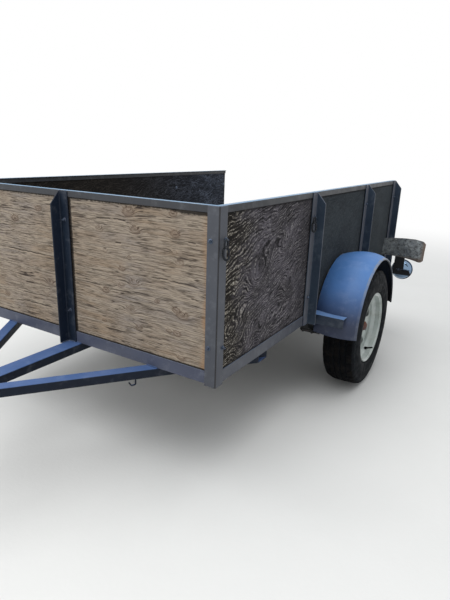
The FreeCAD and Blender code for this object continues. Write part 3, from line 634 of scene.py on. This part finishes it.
# Knots and swirls, with their sizes, and the ends of the cracks, all in mm
FRONT_KNOTS = [(at_x(x), at_z(z), size / 1000) for x, z, size in (
    (177, 535, 14), (338, 618, 20), (371, 550, 16), (555, 630, 12), (562, 489, 9),
    (587, 453, 13), (359, 335, 18), (201, 279, 13), (339, 219, 17), (380, 154, 13),
    (569, 266, 12), (600, 248, 19), (574, 171, 13), (535, 173, 9), (476, 282, 9),
    (594, 73, 12), (344, 53, 10), (185, 142, 8), (296, 387, 11), (336, 437, 8),
    (206, 450, 9), (564, 557, 15), (290, 315, 12), (-194, 584, 14), (-364, 524, 16),
    (-153, 253, 17), (-479, 141, 12), (-181, 191, 11), (-560, 420, 16), (-650, 200, 12))]
FRONT_SPLITS = [[(at_x(x), at_z(z)) for x, z in ends] for ends in (
    ((443, 376), (541, 379)), ((541, 379), (683, 371)), ((157, 577), (252, 583)),
    ((252, 583), (331, 580)), ((-463, 380), (-139, 377)), ((-386, 133), (-132, 133)),
    ((620, 536), (662, 535)), ((262, 488), (300, 488)))]
SIDE_EYES = [(at_y(y), at_z(z), size / 1000) for y, z, size in (
    (342, 464, 75), (215, 217, 50), (560, 470, 60), (373, 190, 45), (130, 330, 60),
    (640, 250, 50), (1240, 520, 50), (1900, 300, 60))]
FLOOR_KNOTS = [(at_y(y), at_x(x), size / 1000) for x, y, size in (
    (-500, 300, 20), (-120, 700, 16), (240, 1100, 20), (-380, 1500, 18), (90, 1950, 20),
    (600, 420, 16))]

# Painted light: the top tones stand for sky light on faces that look up, the front tones for painted shade
# on faces that look forwards
SKY_LIT_TOP = (98, 114, 138)
frame_paint = paint("satin_grey", (80, 83, 91), 0.42, top=SKY_LIT_TOP, front=(68, 73, 90), shine=0.3)
rail_paint = paint("satin_grey_rails", (56, 58, 62), 0.42, dust=0.02, top=(98, 132, 162), shine=0.25)
corner_paint = paint("satin_grey_corner", (78, 81, 89), 0.42, top=SKY_LIT_TOP, front=(70, 73, 80),
                     shade=corner_edge_shade, shine=0.3)
# Painted shade: the dark front tone of the post fins
side_post_paint = paint("satin_grey_posts", (96, 98, 106), 0.42, top=SKY_LIT_TOP, front=(49, 61, 75),
                        shine=0.22)
slate_paint = paint("dark_slate", (30, 39, 54), 0.36, rust=0.35, front=(30, 39, 52), shine=0.15)
tongue_paint = paint("satin_slate", (26, 33, 46), 0.36, rust=0.4, dust=0.03, top=(74, 100, 146),
                     shine=0.12)
# Painted reflection: the fender's blue stands for the sky reflected in its grey paint; the low tone is
# painted shade under the bracket
fender_paint = paint("satin_blue_sky_reflection", (80, 117, 172), 0.44, rust=0.25, dust=0.02, top=(74, 121, 181),
                     shade=fender_inside_shade, rim_wear_and_highlight=fender_rim_wear_and_highlight, low=(at_z(-20), at_z(190), (58, 66, 88)),
                     shine=0.3)
bracket_paint = paint("satin_bracket", (46, 56, 71), 0.4, rust=0.3, dust=0.02, top=(108, 144, 194),
                      shine=0.25)
underside = rust_over("worn_black", (17, 17, 19), 0.1)
spring_iron = rust_over("worn_springs", (20, 19, 20), 0.12)
cap_iron = rust_over("rusty_cap", (66, 38, 38), 0.45)
lamp_black = rust_over("lamp_black", (12, 13, 15), 0)
zinc_steel = zinc("zinc_plate")
ring_iron = zinc("ring_zinc", (40, 43, 48), 0.24, 0.2)
bolt_steel = zinc("bolt_zinc", (82, 94, 112), 0.3, 0.35)
tyre_rubber = rubber("tyre_rubber")
red = lens("red_lens")
plate_metal = aluminium("dull_aluminium")

# Names that end in _ stand for the left and the right piece
LOOKS = (
    (frame_paint, "front_rail rear_rail side_rail_"),
    (rail_paint, "top_rail_front top_rail_"),
    (corner_paint, "corner_post_"),
    (side_post_paint, "side_posts_"),
    (slate_paint, "front_post"),
    (tongue_paint, "tongue_tube brace_"),
    (fender_paint, "fender_"),
    (bracket_paint, "fender_brackets_"),
    (underside, "cross_members axle hangers_ shackle_ spring_plate_"),
    (spring_iron, "spring_"),
    (cap_iron, "hub_"),
    (lamp_black, "lamp_bracket_"),
    (zinc_steel, "coupler jack_bracket jack_tube jack_ram"),
    (chrome("bright_chrome"), "lamp_shell_"),
    (red, "lamp_lens_"),
    (tyre_rubber, "tyre_"),
    (wheel_enamel("white_enamel"), "rim_"),
    (plate_metal, "number_plate"),
    (front_plywood("front_plywood"), "panel_front"),
    (floor_plywood("floor_plywood"), "floor"),
    (side_plywood("side_plywood_l", 1), "panel_l"),
    (side_plywood("side_plywood_r", -1), "panel_r"),
)
for look, names in LOOKS:
    for name in names.split():
        for end in ("l", "r") if name.endswith("_") else ("",):
            slots = NODES[name + end].data.materials
            slots.clear()
            slots.append(look)


def placed(name, data):
    made = bpy.data.objects.new(name, data)
    bpy.context.scene.collection.objects.link(made)
    return made


# Stage: a pale floor that fades to white far from the trailer, and white round it

def make_stage():
    rings = (3, 6, 12, 60, 400)
    steps = 64
    verts = [(0, 0, 0)]
    for r in rings:
        for i in range(steps):
            t = 2 * pi * i / steps
            verts.append((r * cos(t), r * sin(t), 0))
    faces = [(0, 1 + i, 1 + (i + 1) % steps) for i in range(steps)]
    for k in range(len(rings) - 1):
        for i in range(steps):
            a = 1 + k * steps + i
            b = 1 + k * steps + (i + 1) % steps
            faces.append((a, a + steps, b + steps, b))
    mesh = bpy.data.meshes.new("stage_floor")
    mesh.from_pydata(verts, [], faces)
    s = Shader("pale_floor", {"Specular IOR Level": 0.2})
    s.tone = s.mix(s.cloud((1.4, 4, 0.6), 0.3, 0.7), (217, 217, 215), (220, 220, 218))
    s.done(0.9, s.bump(s.noise(60), 0.0006))
    far = s.node("VectorMath", {"operation": "LENGTH"}, Vector=s.place).outputs["Value"]
    white = s.node("Emission", Color=(1, 1, 1, 1), Strength=1)
    share = s.times(s.seen(), s.span(far, 2.6, 8))
    s.show("Material Output", share, s.surface.outputs[0], white.outputs[0])
    mesh.materials.append(s.material)
    placed("stage_floor", mesh)


def make_world(level):
    world = bpy.data.worlds.new("studio")
    bpy.context.scene.world = world
    world.use_nodes = True
    sky = Nodes(world.node_tree)
    light = sky.tree.nodes["Background"]
    light.inputs["Color"].default_value = (0.94, 0.97, 1, 1)
    light.inputs["Strength"].default_value = level
    white = sky.node("Background", Color=(1, 1, 1, 1), Strength=1)
    sky.show("World Output", sky.seen(), light.outputs[0], white.outputs[0])


def make_lamp(name, place, target, size, power):
    data = bpy.data.lights.new(name, "AREA")
    data.shape = "RECTANGLE"
    data.size, data.size_y = size
    data.energy = power
    lamp = placed(name, data)
    lamp.location = place
    lamp.rotation_euler = (Vector(target) - Vector(place)).to_track_quat("-Z", "Y").to_euler()


def make_camera():
    """The photo's camera, as fitted to the trailer's edges: 29 mm on a 36 mm long side."""
    yaw, pitch, roll = -0.549, -0.303, 0.033
    ahead = Vector((sin(yaw) * cos(pitch), cos(yaw) * cos(pitch), sin(pitch)))
    level = Vector((cos(yaw), -sin(yaw), 0))
    up = level.cross(ahead)
    right = level * cos(roll) + up * sin(roll)
    top = up * cos(roll) - level * sin(roll)
    data = bpy.data.cameras.new("camera")
    data.lens = 29.01
    data.sensor_width = 36
    data.clip_end = 1000
    camera = placed("camera", data)
    turn = Matrix((right, top, -ahead)).transposed().to_4x4()
    camera.matrix_world = Matrix.Translation(row((1639.6, -1384.4, 859.2))) @ turn
    bpy.context.scene.camera = camera


make_stage()
make_world(0.62)
make_lamp("top_soft", (-0.3, -0.6, 6), (0, 0, 0.5), (7, 7), 350)
make_lamp("front_soft", (-2.5, -6, 3), (0, 0, 0.6), (4, 3), 150)
make_camera()
bpy.context.scene.view_settings.view_transform = "Standard"


# Mesh building

def axes(axis):
    """Unit vector along an axis, and two more across it."""
    way = Vector(axis).normalized()
    side = way.orthogonal().normalized()
    return way, side, way.cross(side)


def hoop(centre, side, over, radius, count, phase=0):
    """Points of a circle in the plane of two unit vectors."""
    turns = [2 * pi * k / count + phase for k in range(count)]
    return [centre + (side * cos(t) + over * sin(t)) * radius for t in turns]


def circle(centre, axis, radius, count):
    side, over = axes(axis)[1:]
    return hoop(Vector(centre), side, over, radius, count)


class Shell:
    """Vertices and faces of one piece, in mm in the source's frame."""

    def __init__(self):
        self.verts = []
        self.faces = []

    def add(self, verts, faces):
        start = len(self.verts)
        self.verts.extend(Vector(v) for v in verts)
        self.faces.extend(tuple(start + i for i in f) for f in faces)

    def skin(self, rings, loop=False):
        """Quads between closed rings of points; loop joins the last ring to the first."""
        count = len(rings[0])
        total = len(rings)
        faces = []
        for k in range(total if loop else total - 1):
            a = k * count
            b = (k + 1) % total * count
            faces.extend((a + i, b + i, b + (i + 1) % count, a + (i + 1) % count) for i in range(count))
        if not loop:
            faces.append(tuple(range(count)))
            faces.append(tuple((total - 1) * count + i for i in reversed(range(count))))
        self.add([p for ring in rings for p in ring], faces)

    def lathe(self, place, axis, rows, steps, phase=0):
        """Rows of (distance along the axis, radius), turned about the axis through place."""
        way, side, over = axes(axis)
        place = Vector(place)
        self.skin([hoop(place + way * a, side, over, max(r, 0.01), steps, phase) for a, r in rows])

    def tube(self, points, radius, sides, loop=False):
        """Round bar along the points. radius is one number or one for each point."""
        points = [Vector(p) for p in points]
        count = len(points)
        radii = radius if isinstance(radius, (list, tuple)) else [radius] * count
        rings = []
        side = None
        for k, p in enumerate(points):
            if loop:
                way = points[(k + 1) % count] - points[k - 1]
            else:
                way = points[min(k + 1, count - 1)] - points[max(k - 1, 0)]
            way.normalize()
            side = way.orthogonal() if side is None else side - way * side.dot(way)
            side.normalize()
            over = way.cross(side)
            rings.append(hoop(p, side, over, radii[k], sides))
        self.skin(rings, loop)

    def hexagon(self, place, axis, flats, height, turn=0):
        """Hexagon nut or head with a chamfered outer face."""
        r = flats / sqrt(3)
        rows = [(0, r * 0.94), (height * 0.08, r), (height * 0.84, r), (height, r * 0.88)]
        self.lathe(place, axis, rows, 6, turn)

    def nut(self, place, axis, flats, turn, reach=5):
        """Washer, nut and the bolt's threaded end, seated at place."""
        washer = 1.6
        wide = flats * 0.86
        rows = [(0, wide), (washer - 0.2, wide), (washer, flats * 0.82), (washer, flats * 0.3)]
        self.lathe(place, axis, rows, 20)
        way = Vector(axis).normalized()
        self.hexagon(Vector(place) + way * washer, axis, flats, flats * 0.5, turn)
        r = flats * 0.29
        rows = [(flats * 0.5, r)]
        a = flats * 0.5 + washer
        while a < flats * 0.5 + washer + reach:
            rows.extend([(a, r), (a + 0.6, r * 0.86)])
            a += 1.2
        rows.append((a, r * 0.7))
        self.lathe(place, axis, rows, 12)

    def dome(self, place, axis, radius, height):
        """Carriage bolt's head."""
        rows = [(0, radius)]
        for k in range(1, 7):
            t = k / 6 * pi / 2
            rows.append((height * sin(t), radius * cos(t)))
        self.lathe(place, axis, rows, 20)

    def bead(self, a, b, size):
        """Weld bead between two points: overlapping ripples, a little uneven."""
        a = Vector(a)
        b = Vector(b)
        run = b - a
        steps = max(3, int(run.length / 1.7))
        points = []
        radii = []
        for k in range(steps + 1):
            wobble = Vector([random.uniform(-0.35, 0.35) for _ in range(3)])
            points.append(a + run * (k / steps) + wobble)
            ends = min(1, 0.45 + 0.25 * min(k, steps - k))
            radii.append(size * ends * (0.82 + 0.22 * (k % 3 == 0) + random.uniform(-0.06, 0.06)))
        self.tube(points, radii, 7)

    def mirrored(self):
        other = Shell()
        other.add([(-v.x, v.y, v.z) for v in self.verts], [tuple(reversed(f)) for f in self.faces])
        return other

    def piece(self, name, look, slot, body="trailer", angle=38):
        mesh = bpy.data.meshes.new(name)
        mesh.from_pydata([row(v) for v in self.verts], [], self.faces)
        mesh.validate()
        mesh.shade_smooth()
        mesh.set_sharp_from_angle(angle=radians(angle))
        mesh.materials.append(look)
        made = placed(name, mesh)
        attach(made, body)
        return made


def pair(name, shell, look, slot, body="trailer", angle=38):
    """The left piece and its mirror image on the right. A body's name that ends in _ gets l or r."""
    made = []
    for side, one in (("l", shell), ("r", shell.mirrored())):
        to = body + side if body.endswith("_") else body
        made.append(one.piece(f"{name}_{side}", look, slot, to, angle))
    return made


# Tyres with a worn road tread

def tyre():
    """Rings round the axle. Across the crown the section is fine enough for grooves, which zigzag."""
    steps = 420
    block = 12
    crown = 74
    count = 34
    half = []
    for k in range(count + 1):
        s = crown * k / count
        half.append((s, TYRE_R - 0.9 * (s / 45) ** 2 - 4.4 * max(0, (s - 45) / 29) ** 2))
    side = [(80, 335.5), (84.5, 330), (87.8, 323), (89.6, 315), (90.6, 314.2), (91.2, 307), (92.4, 306.4),
            (94.6, 295), (96.4, 281), (97.4, 268), (97.6, 259), (98, 258), (98, 250), (97, 249),
            (94.6, 230), (90.5, 215.5), (88, 214.8), (85.5, 209.5), (80.6, 206.4), (78.2, 204.2),
            (76.8, 197), (76.6, 191.4)]
    inner = [(58, 191.4), (60, 204), (72, 225), (84, 254), (81, 296), (70, 317), (40, 326), (0, 328)]
    section = half + side + inner
    profile = ([(-s, r) for s, r in reversed(section[1:])] + section)[:-1]
    middle = len(section) - 1
    rings = []
    for i in range(steps):
        t = 2 * pi * i / steps
        zig = abs((i % block) / (block / 2) - 1) * 2 - 1
        ring = []
        for n, (s, r) in enumerate(profile):
            lug_gap = (i + (block // 2 if s > 0 else 0)) % block in (0, 1)
            if abs(n - middle) <= count:
                deep = 0
                for groove in (-47, -17, 17, 47):
                    away = abs(s - groove - 2.6 * zig * (1 if groove > 0 else -1))
                    deep = max(deep, 5.5 * min(1, max(0, (4.6 - away) / 1.8)))
                if abs(s) > 54 and lug_gap:
                    deep = max(deep, 4.5)
                if 22 < abs(s) < 42 and (i + int(abs(s) / 6)) % block == 3:
                    deep = max(deep, 2.2)
                r -= deep
            elif 311 < r < 336 and abs(s) > 79 and lug_gap:
                s = copysign(abs(s) - 2.2, s)
            ring.append((TYRE_X + s, AXLE_Y + r * cos(t), AXLE_Z + r * sin(t)))
        rings.append(ring)
    shell = Shell()
    shell.skin(rings, loop=True)
    return shell


for made, side in zip(pair("tyre_tread", tyre(), tyre_rubber, "tyre", "wheel_", 32), "lr"):
    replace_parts(made, "tyre_" + side)


def wheel_fittings():
    """Five lug nuts, and the valve in the barrel."""
    nuts = Shell()
    for k in range(5):
        t = radians(90 + 72 * k)
        y = AXLE_Y + LUG_CIRCLE_R * cos(t)
        z = AXLE_Z + LUG_CIRCLE_R * sin(t)
        at = Vector((TYRE_X + 4.3, y, z))
        nuts.lathe(at, (1, 0, 0), [(0, 11), (2.5, 12.5), (4, 12.5)], 20)
        nuts.hexagon(at + Vector((4, 0, 0)), (1, 0, 0), 19, 14, 0.3 * k)
        nuts.lathe(at, (1, 0, 0), [(16, 6), (22, 6), (23.5, 4.6)], 14)
    valve = Shell()
    t = radians(-70)
    way = Vector((0.93, -cos(t) * 0.36, -sin(t) * 0.36)).normalized()
    root = Vector((TYRE_X + 56, AXLE_Y + 168 * cos(t), AXLE_Z + 168 * sin(t)))
    stem = [(-8, 9), (0, 9), (3, 7.6), (5, 5.6), (24, 4.6), (26, 4.2), (26, 5.2), (40, 5), (41, 4)]
    valve.lathe(root, way, stem, 16)
    return nuts, valve


nuts, valve = wheel_fittings()
pair("lug_nuts", nuts, cap_iron, "rusty_iron", "wheel_")
pair("valve", valve, tyre_rubber, "tyre", "wheel_")


# Bolts through posts and panels, and the two lashing rings on each side

def frame_bolts():
    outside = Shell()
    inside = Shell()
    flats = 11
    head = 12
    inner_y = STEEL * 2 + PLY
    inner_x = HALF - 2 * STEEL - PLY
    for x in (-726, POST_MID + 28, 726):
        for z in (150, 552):
            outside.nut((x, 0, z), (0, -1, 0), flats, random.uniform(0, 1))
            inside.dome((x, inner_y, z), (0, 1, 0), head, 4)
    for sign in (-1, 1):
        for y in (42, *[p - 25 for p in POSTS]):
            for z in (148, 556):
                outside.nut((sign * HALF, y, z), (sign, 0, 0), flats, random.uniform(0, 1))
                inside.dome((sign * inner_x, y, z), (-sign, 0, 0), head, 4)
    for k in range(5):
        y = BED_L * (k + 1) / 6 + 20
        for x in (-640, -330, 330, 640):
            inside.dome((x, y, DECK), (0, 0, 1), head, 3.5)
    outside.piece("post_nuts", bolt_steel, "zinc_steel")
    inside.piece("panel_bolts", bolt_steel, "zinc_steel")


def oval(centre, across, wide, along, tall):
    """Points of a chain link's centreline, wide and tall in its two directions."""
    count = 28
    out = []
    for k in range(count):
        t = 2 * pi * k / count
        rise = copysign(abs(sin(t)) ** 0.75, sin(t))
        out.append(Vector(centre) + Vector(across) * (wide * cos(t)) + Vector(along) * (tall * rise))
    return out


def lashing_rings():
    shell = Shell()
    for y in (22, POSTS[0] - 52):
        x = HALF + 13
        shell.tube(oval((x + 2, y, 546), (0, 1, 0), 11, (0, 0, 1), 14), 3.6, 10, loop=True)
        shell.tube(oval((x + 1, y + 3, 511), (0.55, 0.83, 0), 11, (0.05, 0.04, -1), 23), 4.2, 10, loop=True)
    pair("lashing_rings", shell, ring_iron, "zinc_steel")


frame_bolts()
lashing_rings()


# Weld beads

def brace_edge(sign):
    """Y at which one edge of a brace meets the tongue tube's side."""
    return (TUBE_W / 2 - BRACE_X + sign * BRACE_HALF * hypot(1, BRACE_SLOPE)) / BRACE_SLOPE


def side_bead(shell, sign, a, b, size):
    """Bead on one side of the trailer, between two points given as on its left side."""
    shell.bead((sign * a[0], *a[1:]), (sign * b[0], *b[1:]), size)


def welds():
    frame = Shell()
    tongue = Shell()
    half = TUBE_W / 2
    high = BED_H - 3.4
    lap = HALF - 0.5
    near = brace_edge(-1)
    far = brace_edge(1)
    for sign in (-1, 1):
        for y in (far, near):
            side_bead(tongue, sign, (half, y, -2), (half, y, 2 - TUBE_H), 4)
        side_bead(tongue, sign, (half + 1, near, 0.2), (half + 1, far, 0.2), 3.6)
        x = BRACE_X + BRACE_SLOPE * STEEL
        side_bead(tongue, sign, (x - 30, STEEL, 0), (x + 30, STEEL, 0), 3.6)
        x = HALF - 50
        side_bead(frame, sign, (x, STEEL, 1), (x, STEEL - 3.5, RAIL_LEG - 3), 2.4)
        for rear in POSTS:
            side_bead(frame, sign, (lap, rear - POST_LEG, 3), (lap, rear - POST_LEG, RAIL_LEG - 4), 2.6)
            side_bead(frame, sign, (HALF + 1, rear - POST_LEG + 3, 0.3), (HALF + 1, rear - 3, 0.3), 2.6)
            side_bead(frame, sign, (lap, rear - POST_LEG + 2, high), (lap, rear - 8, high), 2.2)
        r = FENDER_R + 0.6
        for turn in (28, 55, 90, 125, 150):
            ends = [(HALF + 1.2, AXLE_Y + r * cos(t), FENDER_Z + r * sin(t))
                    for t in (radians(turn - 3), radians(turn + 3))]
            side_bead(frame, sign, *ends, 2.6)
        for y, z_top, z_low in ((AXLE_Y - 424, 40, -3), (AXLE_Y + 414, -4, -41)):
            side_bead(frame, sign, (HALF + 0.8, y, z_top), (HALF + 0.8, y, z_low), 2.6)
    tongue.bead((-half + 3, STEEL, 0), (half - 3, STEEL, 0), 3.6)
    frame.bead((POST_MID + 3, 1, 1), (POST_MID + POST_LEG - 3, 1, 1), 3)
    frame.bead((POST_MID + 5, -42, 0.4), (POST_MID + 5, -2, 0.4), 2.8)
    frame.piece("frame_welds", frame_paint, "frame_paint", angle=60)
    tongue.piece("tongue_welds", tongue_paint, "frame_paint", angle=60)


welds()


# The blank number plate, twisted and curled at its outer end. Its rows give s along the plate, its foot
# there and its head there.
PLATE = [(0, (763, 2258.5, 147), (790, 2187, 278)), (0.25, (838, 2258.5, 146), (860, 2204, 286)),
         (0.5, (913, 2258.5, 143), (927, 2222, 288)), (0.75, (988, 2257, 131), (992, 2256, 284)),
         (0.92, (1040, 2258, 119), (1045, 2272, 272)), (0.97, (1056, 2268, 123), (1060, 2276, 262)),
         (1, (1063, 2277, 138), (1067, 2279, 246))]


def plate_ends(s):
    """The plate's foot and head at s, held within 0 and 1."""
    s = min(1, max(0, s))
    for a, b in zip(PLATE, PLATE[1:]):
        if s <= b[0]:
            t = (s - a[0]) / (b[0] - a[0])
            return [Vector(a[k]).lerp(Vector(b[k]), t) for k in (1, 2)]


def plate_point(s, t):
    """Point of the plate's middle surface, s along it and t up it, from 0 to 1."""
    near = [plate_ends(s + d) for d in (-0.03, 0, 0.03)]
    foot, head = [sum((ends[k] for ends in near), Vector()) / 3 for k in (0, 1)]
    p = foot.lerp(head, t)
    sag = 5 * sin(pi * t) * sin(2 * pi * s)
    dent = 2.2 * sin(11 * s + 3 * t) * sin(7 * t + 2)
    return p + Vector((0, sag + dent - 4 * sin(pi * t), 0))


def plate():
    wide = 60
    high = 30
    sides = []
    for face in (-0.6, 0.6):
        grid = []
        for j in range(high + 1):
            for i in range(wide + 1):
                s = i / wide
                t = j / high
                du = plate_point(min(1, s + 0.01), t) - plate_point(max(0, s - 0.01), t)
                dv = plate_point(s, min(1, t + 0.01)) - plate_point(s, max(0, t - 0.01))
                out = du.cross(dv).normalized()
                inward = min(s * PLATE_W, (1 - s) * PLATE_W, t * PLATE_H, (1 - t) * PLATE_H)
                ridge = 1.6 * exp(-((inward - 7) / 2.2) ** 2)
                grid.append(plate_point(s, t) + out * (face + ridge))
        sides.append(grid)
    shell = Shell()
    row_len = wide + 1
    quads = [(j * row_len + i, j * row_len + i + 1, (j + 1) * row_len + i + 1, (j + 1) * row_len + i)
             for j in range(high) for i in range(wide)]
    count = len(sides[0])
    faces = quads + [tuple(count + i for i in reversed(q)) for q in quads]
    rim = list(range(wide)) + [j * row_len + wide for j in range(high)]
    rim += [high * row_len + i for i in range(wide, 0, -1)] + [j * row_len for j in range(high, 0, -1)]
    for a, b in zip(rim, rim[1:] + rim[:1]):
        faces.append((b, a, count + a, count + b))
    shell.add(sides[0] + sides[1], faces)
    return shell


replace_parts(plate().piece("bent_plate", plate_metal, "plate_aluminium", angle=50), "number_plate")


# Small fittings

def lens_ribs():
    """Rings moulded on each lens, and the screws of the left lamp and the plate."""
    shell = Shell()
    x, y, z = LAMP
    ball = 261.4
    for r in (12, 20, 28, 36, 44, 52, 60):
        centre = (x, y + 14 - ball + sqrt(ball * ball - r * r), z)
        shell.tube(circle(centre, (0, 1, 0), r, 56), 1.3, 6, loop=True)
    pair("lens_ribs", shell, red, "red_lens")
    screws = Shell()
    for side in (-1, 1):
        screws.dome((x + side * 66, y + 4.6, z), (0, 1, 0), 3.4, 2.2)
    screws.nut((x - 14, LAMP_BACK - 2 * STEEL, 47), (0, -1, 0), 10, 0.3)
    for s, lean in ((0.42, 0.3), (0.56, 0.2)):
        screws.dome(plate_point(s, 0.14) + Vector((0, -0.8, 0)), (0, -1, lean), 5, 2.4)
    screws.piece("lamp_screws", bolt_steel, "zinc_steel")


def tongue_fittings():
    """Coupler bolts through the tongue and the ball clamp's nut."""
    shell = Shell()
    side = TUBE_W / 2 + 4.3
    for y in (TONGUE_FRONT + 45, TONGUE_FRONT + 110):
        for sign in (-1, 1):
            shell.nut((sign * side, y, -TUBE_H / 2), (sign, 0, 0), 19, 0.2)
    shell.nut((0, TONGUE_FRONT - 34, 8 - TUBE_H), (0, 0, -1), 14, 0.5, 6)
    shell.piece("coupler_bolts", zinc_steel, "zinc_steel")


def jack_trim():
    """Ribs of the crank's grip, a grease nipple and the cap's screws."""
    shell = Shell()
    x = TUBE_W / 2 + 77.9
    y = TONGUE_FRONT + 215
    for k in range(9):
        shell.tube(circle((x, y - 120, 400 + k * 6), (0, 0, 1), 14.7 - 0.2 * k, 32), 1.3, 6, loop=True)
    nipple = [(0, 5), (3, 5), (3, 3), (7, 3), (8, 4), (10, 3.4), (11.5, 1.6)]
    shell.lathe((x, y + 24.5, 250), (0, 1, 0.3), nipple, 14)
    for turn in range(4):
        t = pi / 4 + turn * pi / 2
        out = Vector((cos(t), sin(t), 0))
        place = (x + 33.4 * cos(t), y + 33.4 * sin(t), 298)
        shell.hexagon(place, out, 8, 3.4)
    shell.piece("jack_trim", zinc_steel, "zinc_steel", "jack")


def spring_clips():
    """Bands that hold the leaves together, and their bolts."""
    shell = Shell()
    x = SPRING_X
    middle = -134.6
    for way in (-1, 1):
        y = AXLE_Y + way * 205
        rings = []
        for dx, dz in ((-26, -10), (26, -10), (26, 16), (-26, 16)):
            outward = Vector((dx, 0, (dz - 3) * 2)).normalized() * 2.2
            corner = Vector((x + dx, y, middle + dz))
            wide = Vector((0, 10, 0))
            rings.append([corner - wide - outward, corner - wide + outward,
                          corner + wide + outward, corner + wide - outward])
        shell.skin(rings, loop=True)
        for side in (1, -1):
            shell.hexagon((x + side * 28, y, middle + 9), (side, 0, 0), 13, 6)
    pair("spring_clips", shell, spring_iron, "spring_steel")


def rail_linings():
    """Inner legs of the three top rails, which cap the sheets' edges."""
    shell = Shell()
    high = BED_H - 0.5
    low = BED_H - TOP_LEG
    out = HALF - TOP_LEG
    ring = [(0, low), (0, high), (2.9, high), (2.9, low + 0.6), (2.3, low)]
    for sign in (-1, 1):
        shell.skin([[(sign * (out + dx), y, z) for dx, z in ring] for y in (TOP_LEG + 3, BED_L - 0.5)])
    shell.skin([[(x, TOP_LEG - dy, z) for dy, z in ring] for x in (-out, out)])
    shell.piece("rail_linings", rail_paint, "frame_paint", angle=30)


def bar(shell, points, thick, axis, low, high):
    """Flat bar from low to high along an axis (0 for X, 1 for Y), bent through points across it."""
    points = [Vector(p) for p in points]
    left = []
    right = []
    for k, p in enumerate(points):
        way = (points[min(k + 1, len(points) - 1)] - points[max(k - 1, 0)]).normalized()
        side = Vector((-way.y, way.x)) * thick / 2
        left.append(p + side)
        right.append(p - side)
    ring = left + right[::-1]
    rings = []
    for at in (low, high):
        rings.append([(at, p.x, p.y) if axis == 0 else (p.x, at, p.y) for p in ring])
    shell.skin(rings)


def lamp_bars():
    """Angle bar across each lamp's bowl, over the end of its arm, with a pale zinc top ledge as a painted
    highlight.
    """
    shell = Shell()
    x, y, z = LAMP
    face = LAMP_BACK - STEEL
    points = [(x - 30, z - 10), (x + 60, z - 10), (x + 68, z - 6)]
    bar(shell, points, 41, 1, face - 2.2, face - 0.2)
    pair("lamp_bars", shell, lamp_black, "black_steel")
    # Painted highlight: the angle's top ledge in pale zinc
    ledge_highlight = Shell()
    ends = []
    for at, reach in ((x - 30, 13), (x + 68, 9)):
        corners = ((reach, 10), (reach, 12), (1, 12), (1, 10))
        ends.append([(at, face - dy, z + dz) for dy, dz in corners])
    ledge_highlight.skin(ends)
    pair("lamp_ledge_highlights", ledge_highlight, bolt_steel, "zinc_steel")


def hanger_gussets():
    """Bent plate that boxes in the front of each front hanger."""
    shell = Shell()
    x = SPRING_X
    y = AXLE_Y - 330
    path = [(y - 88, -2.3), (y - 87, -24), (y - 78, -42), (y - 56, -58), (y - 30, -70)]
    bar(shell, path, 4, 0, x - 31, x + 31)
    cheek = [(y - 87, -0.4), (y - 29, -0.4), (y - 21, -70), (y - 30, -70), (y - 55, -57), (y - 77, -41),
             (y - 86, -24)]
    for side in (x - 30.5, x + 27.5):
        shell.skin([[(at, *p) for p in cheek] for at in (side, side + 3)])
    pair("hanger_gussets", shell, lamp_black, "black_steel", angle=30)


rail_linings()
lens_ribs()
lamp_bars()
hanger_gussets()
tongue_fittings()
jack_trim()
spring_clips()
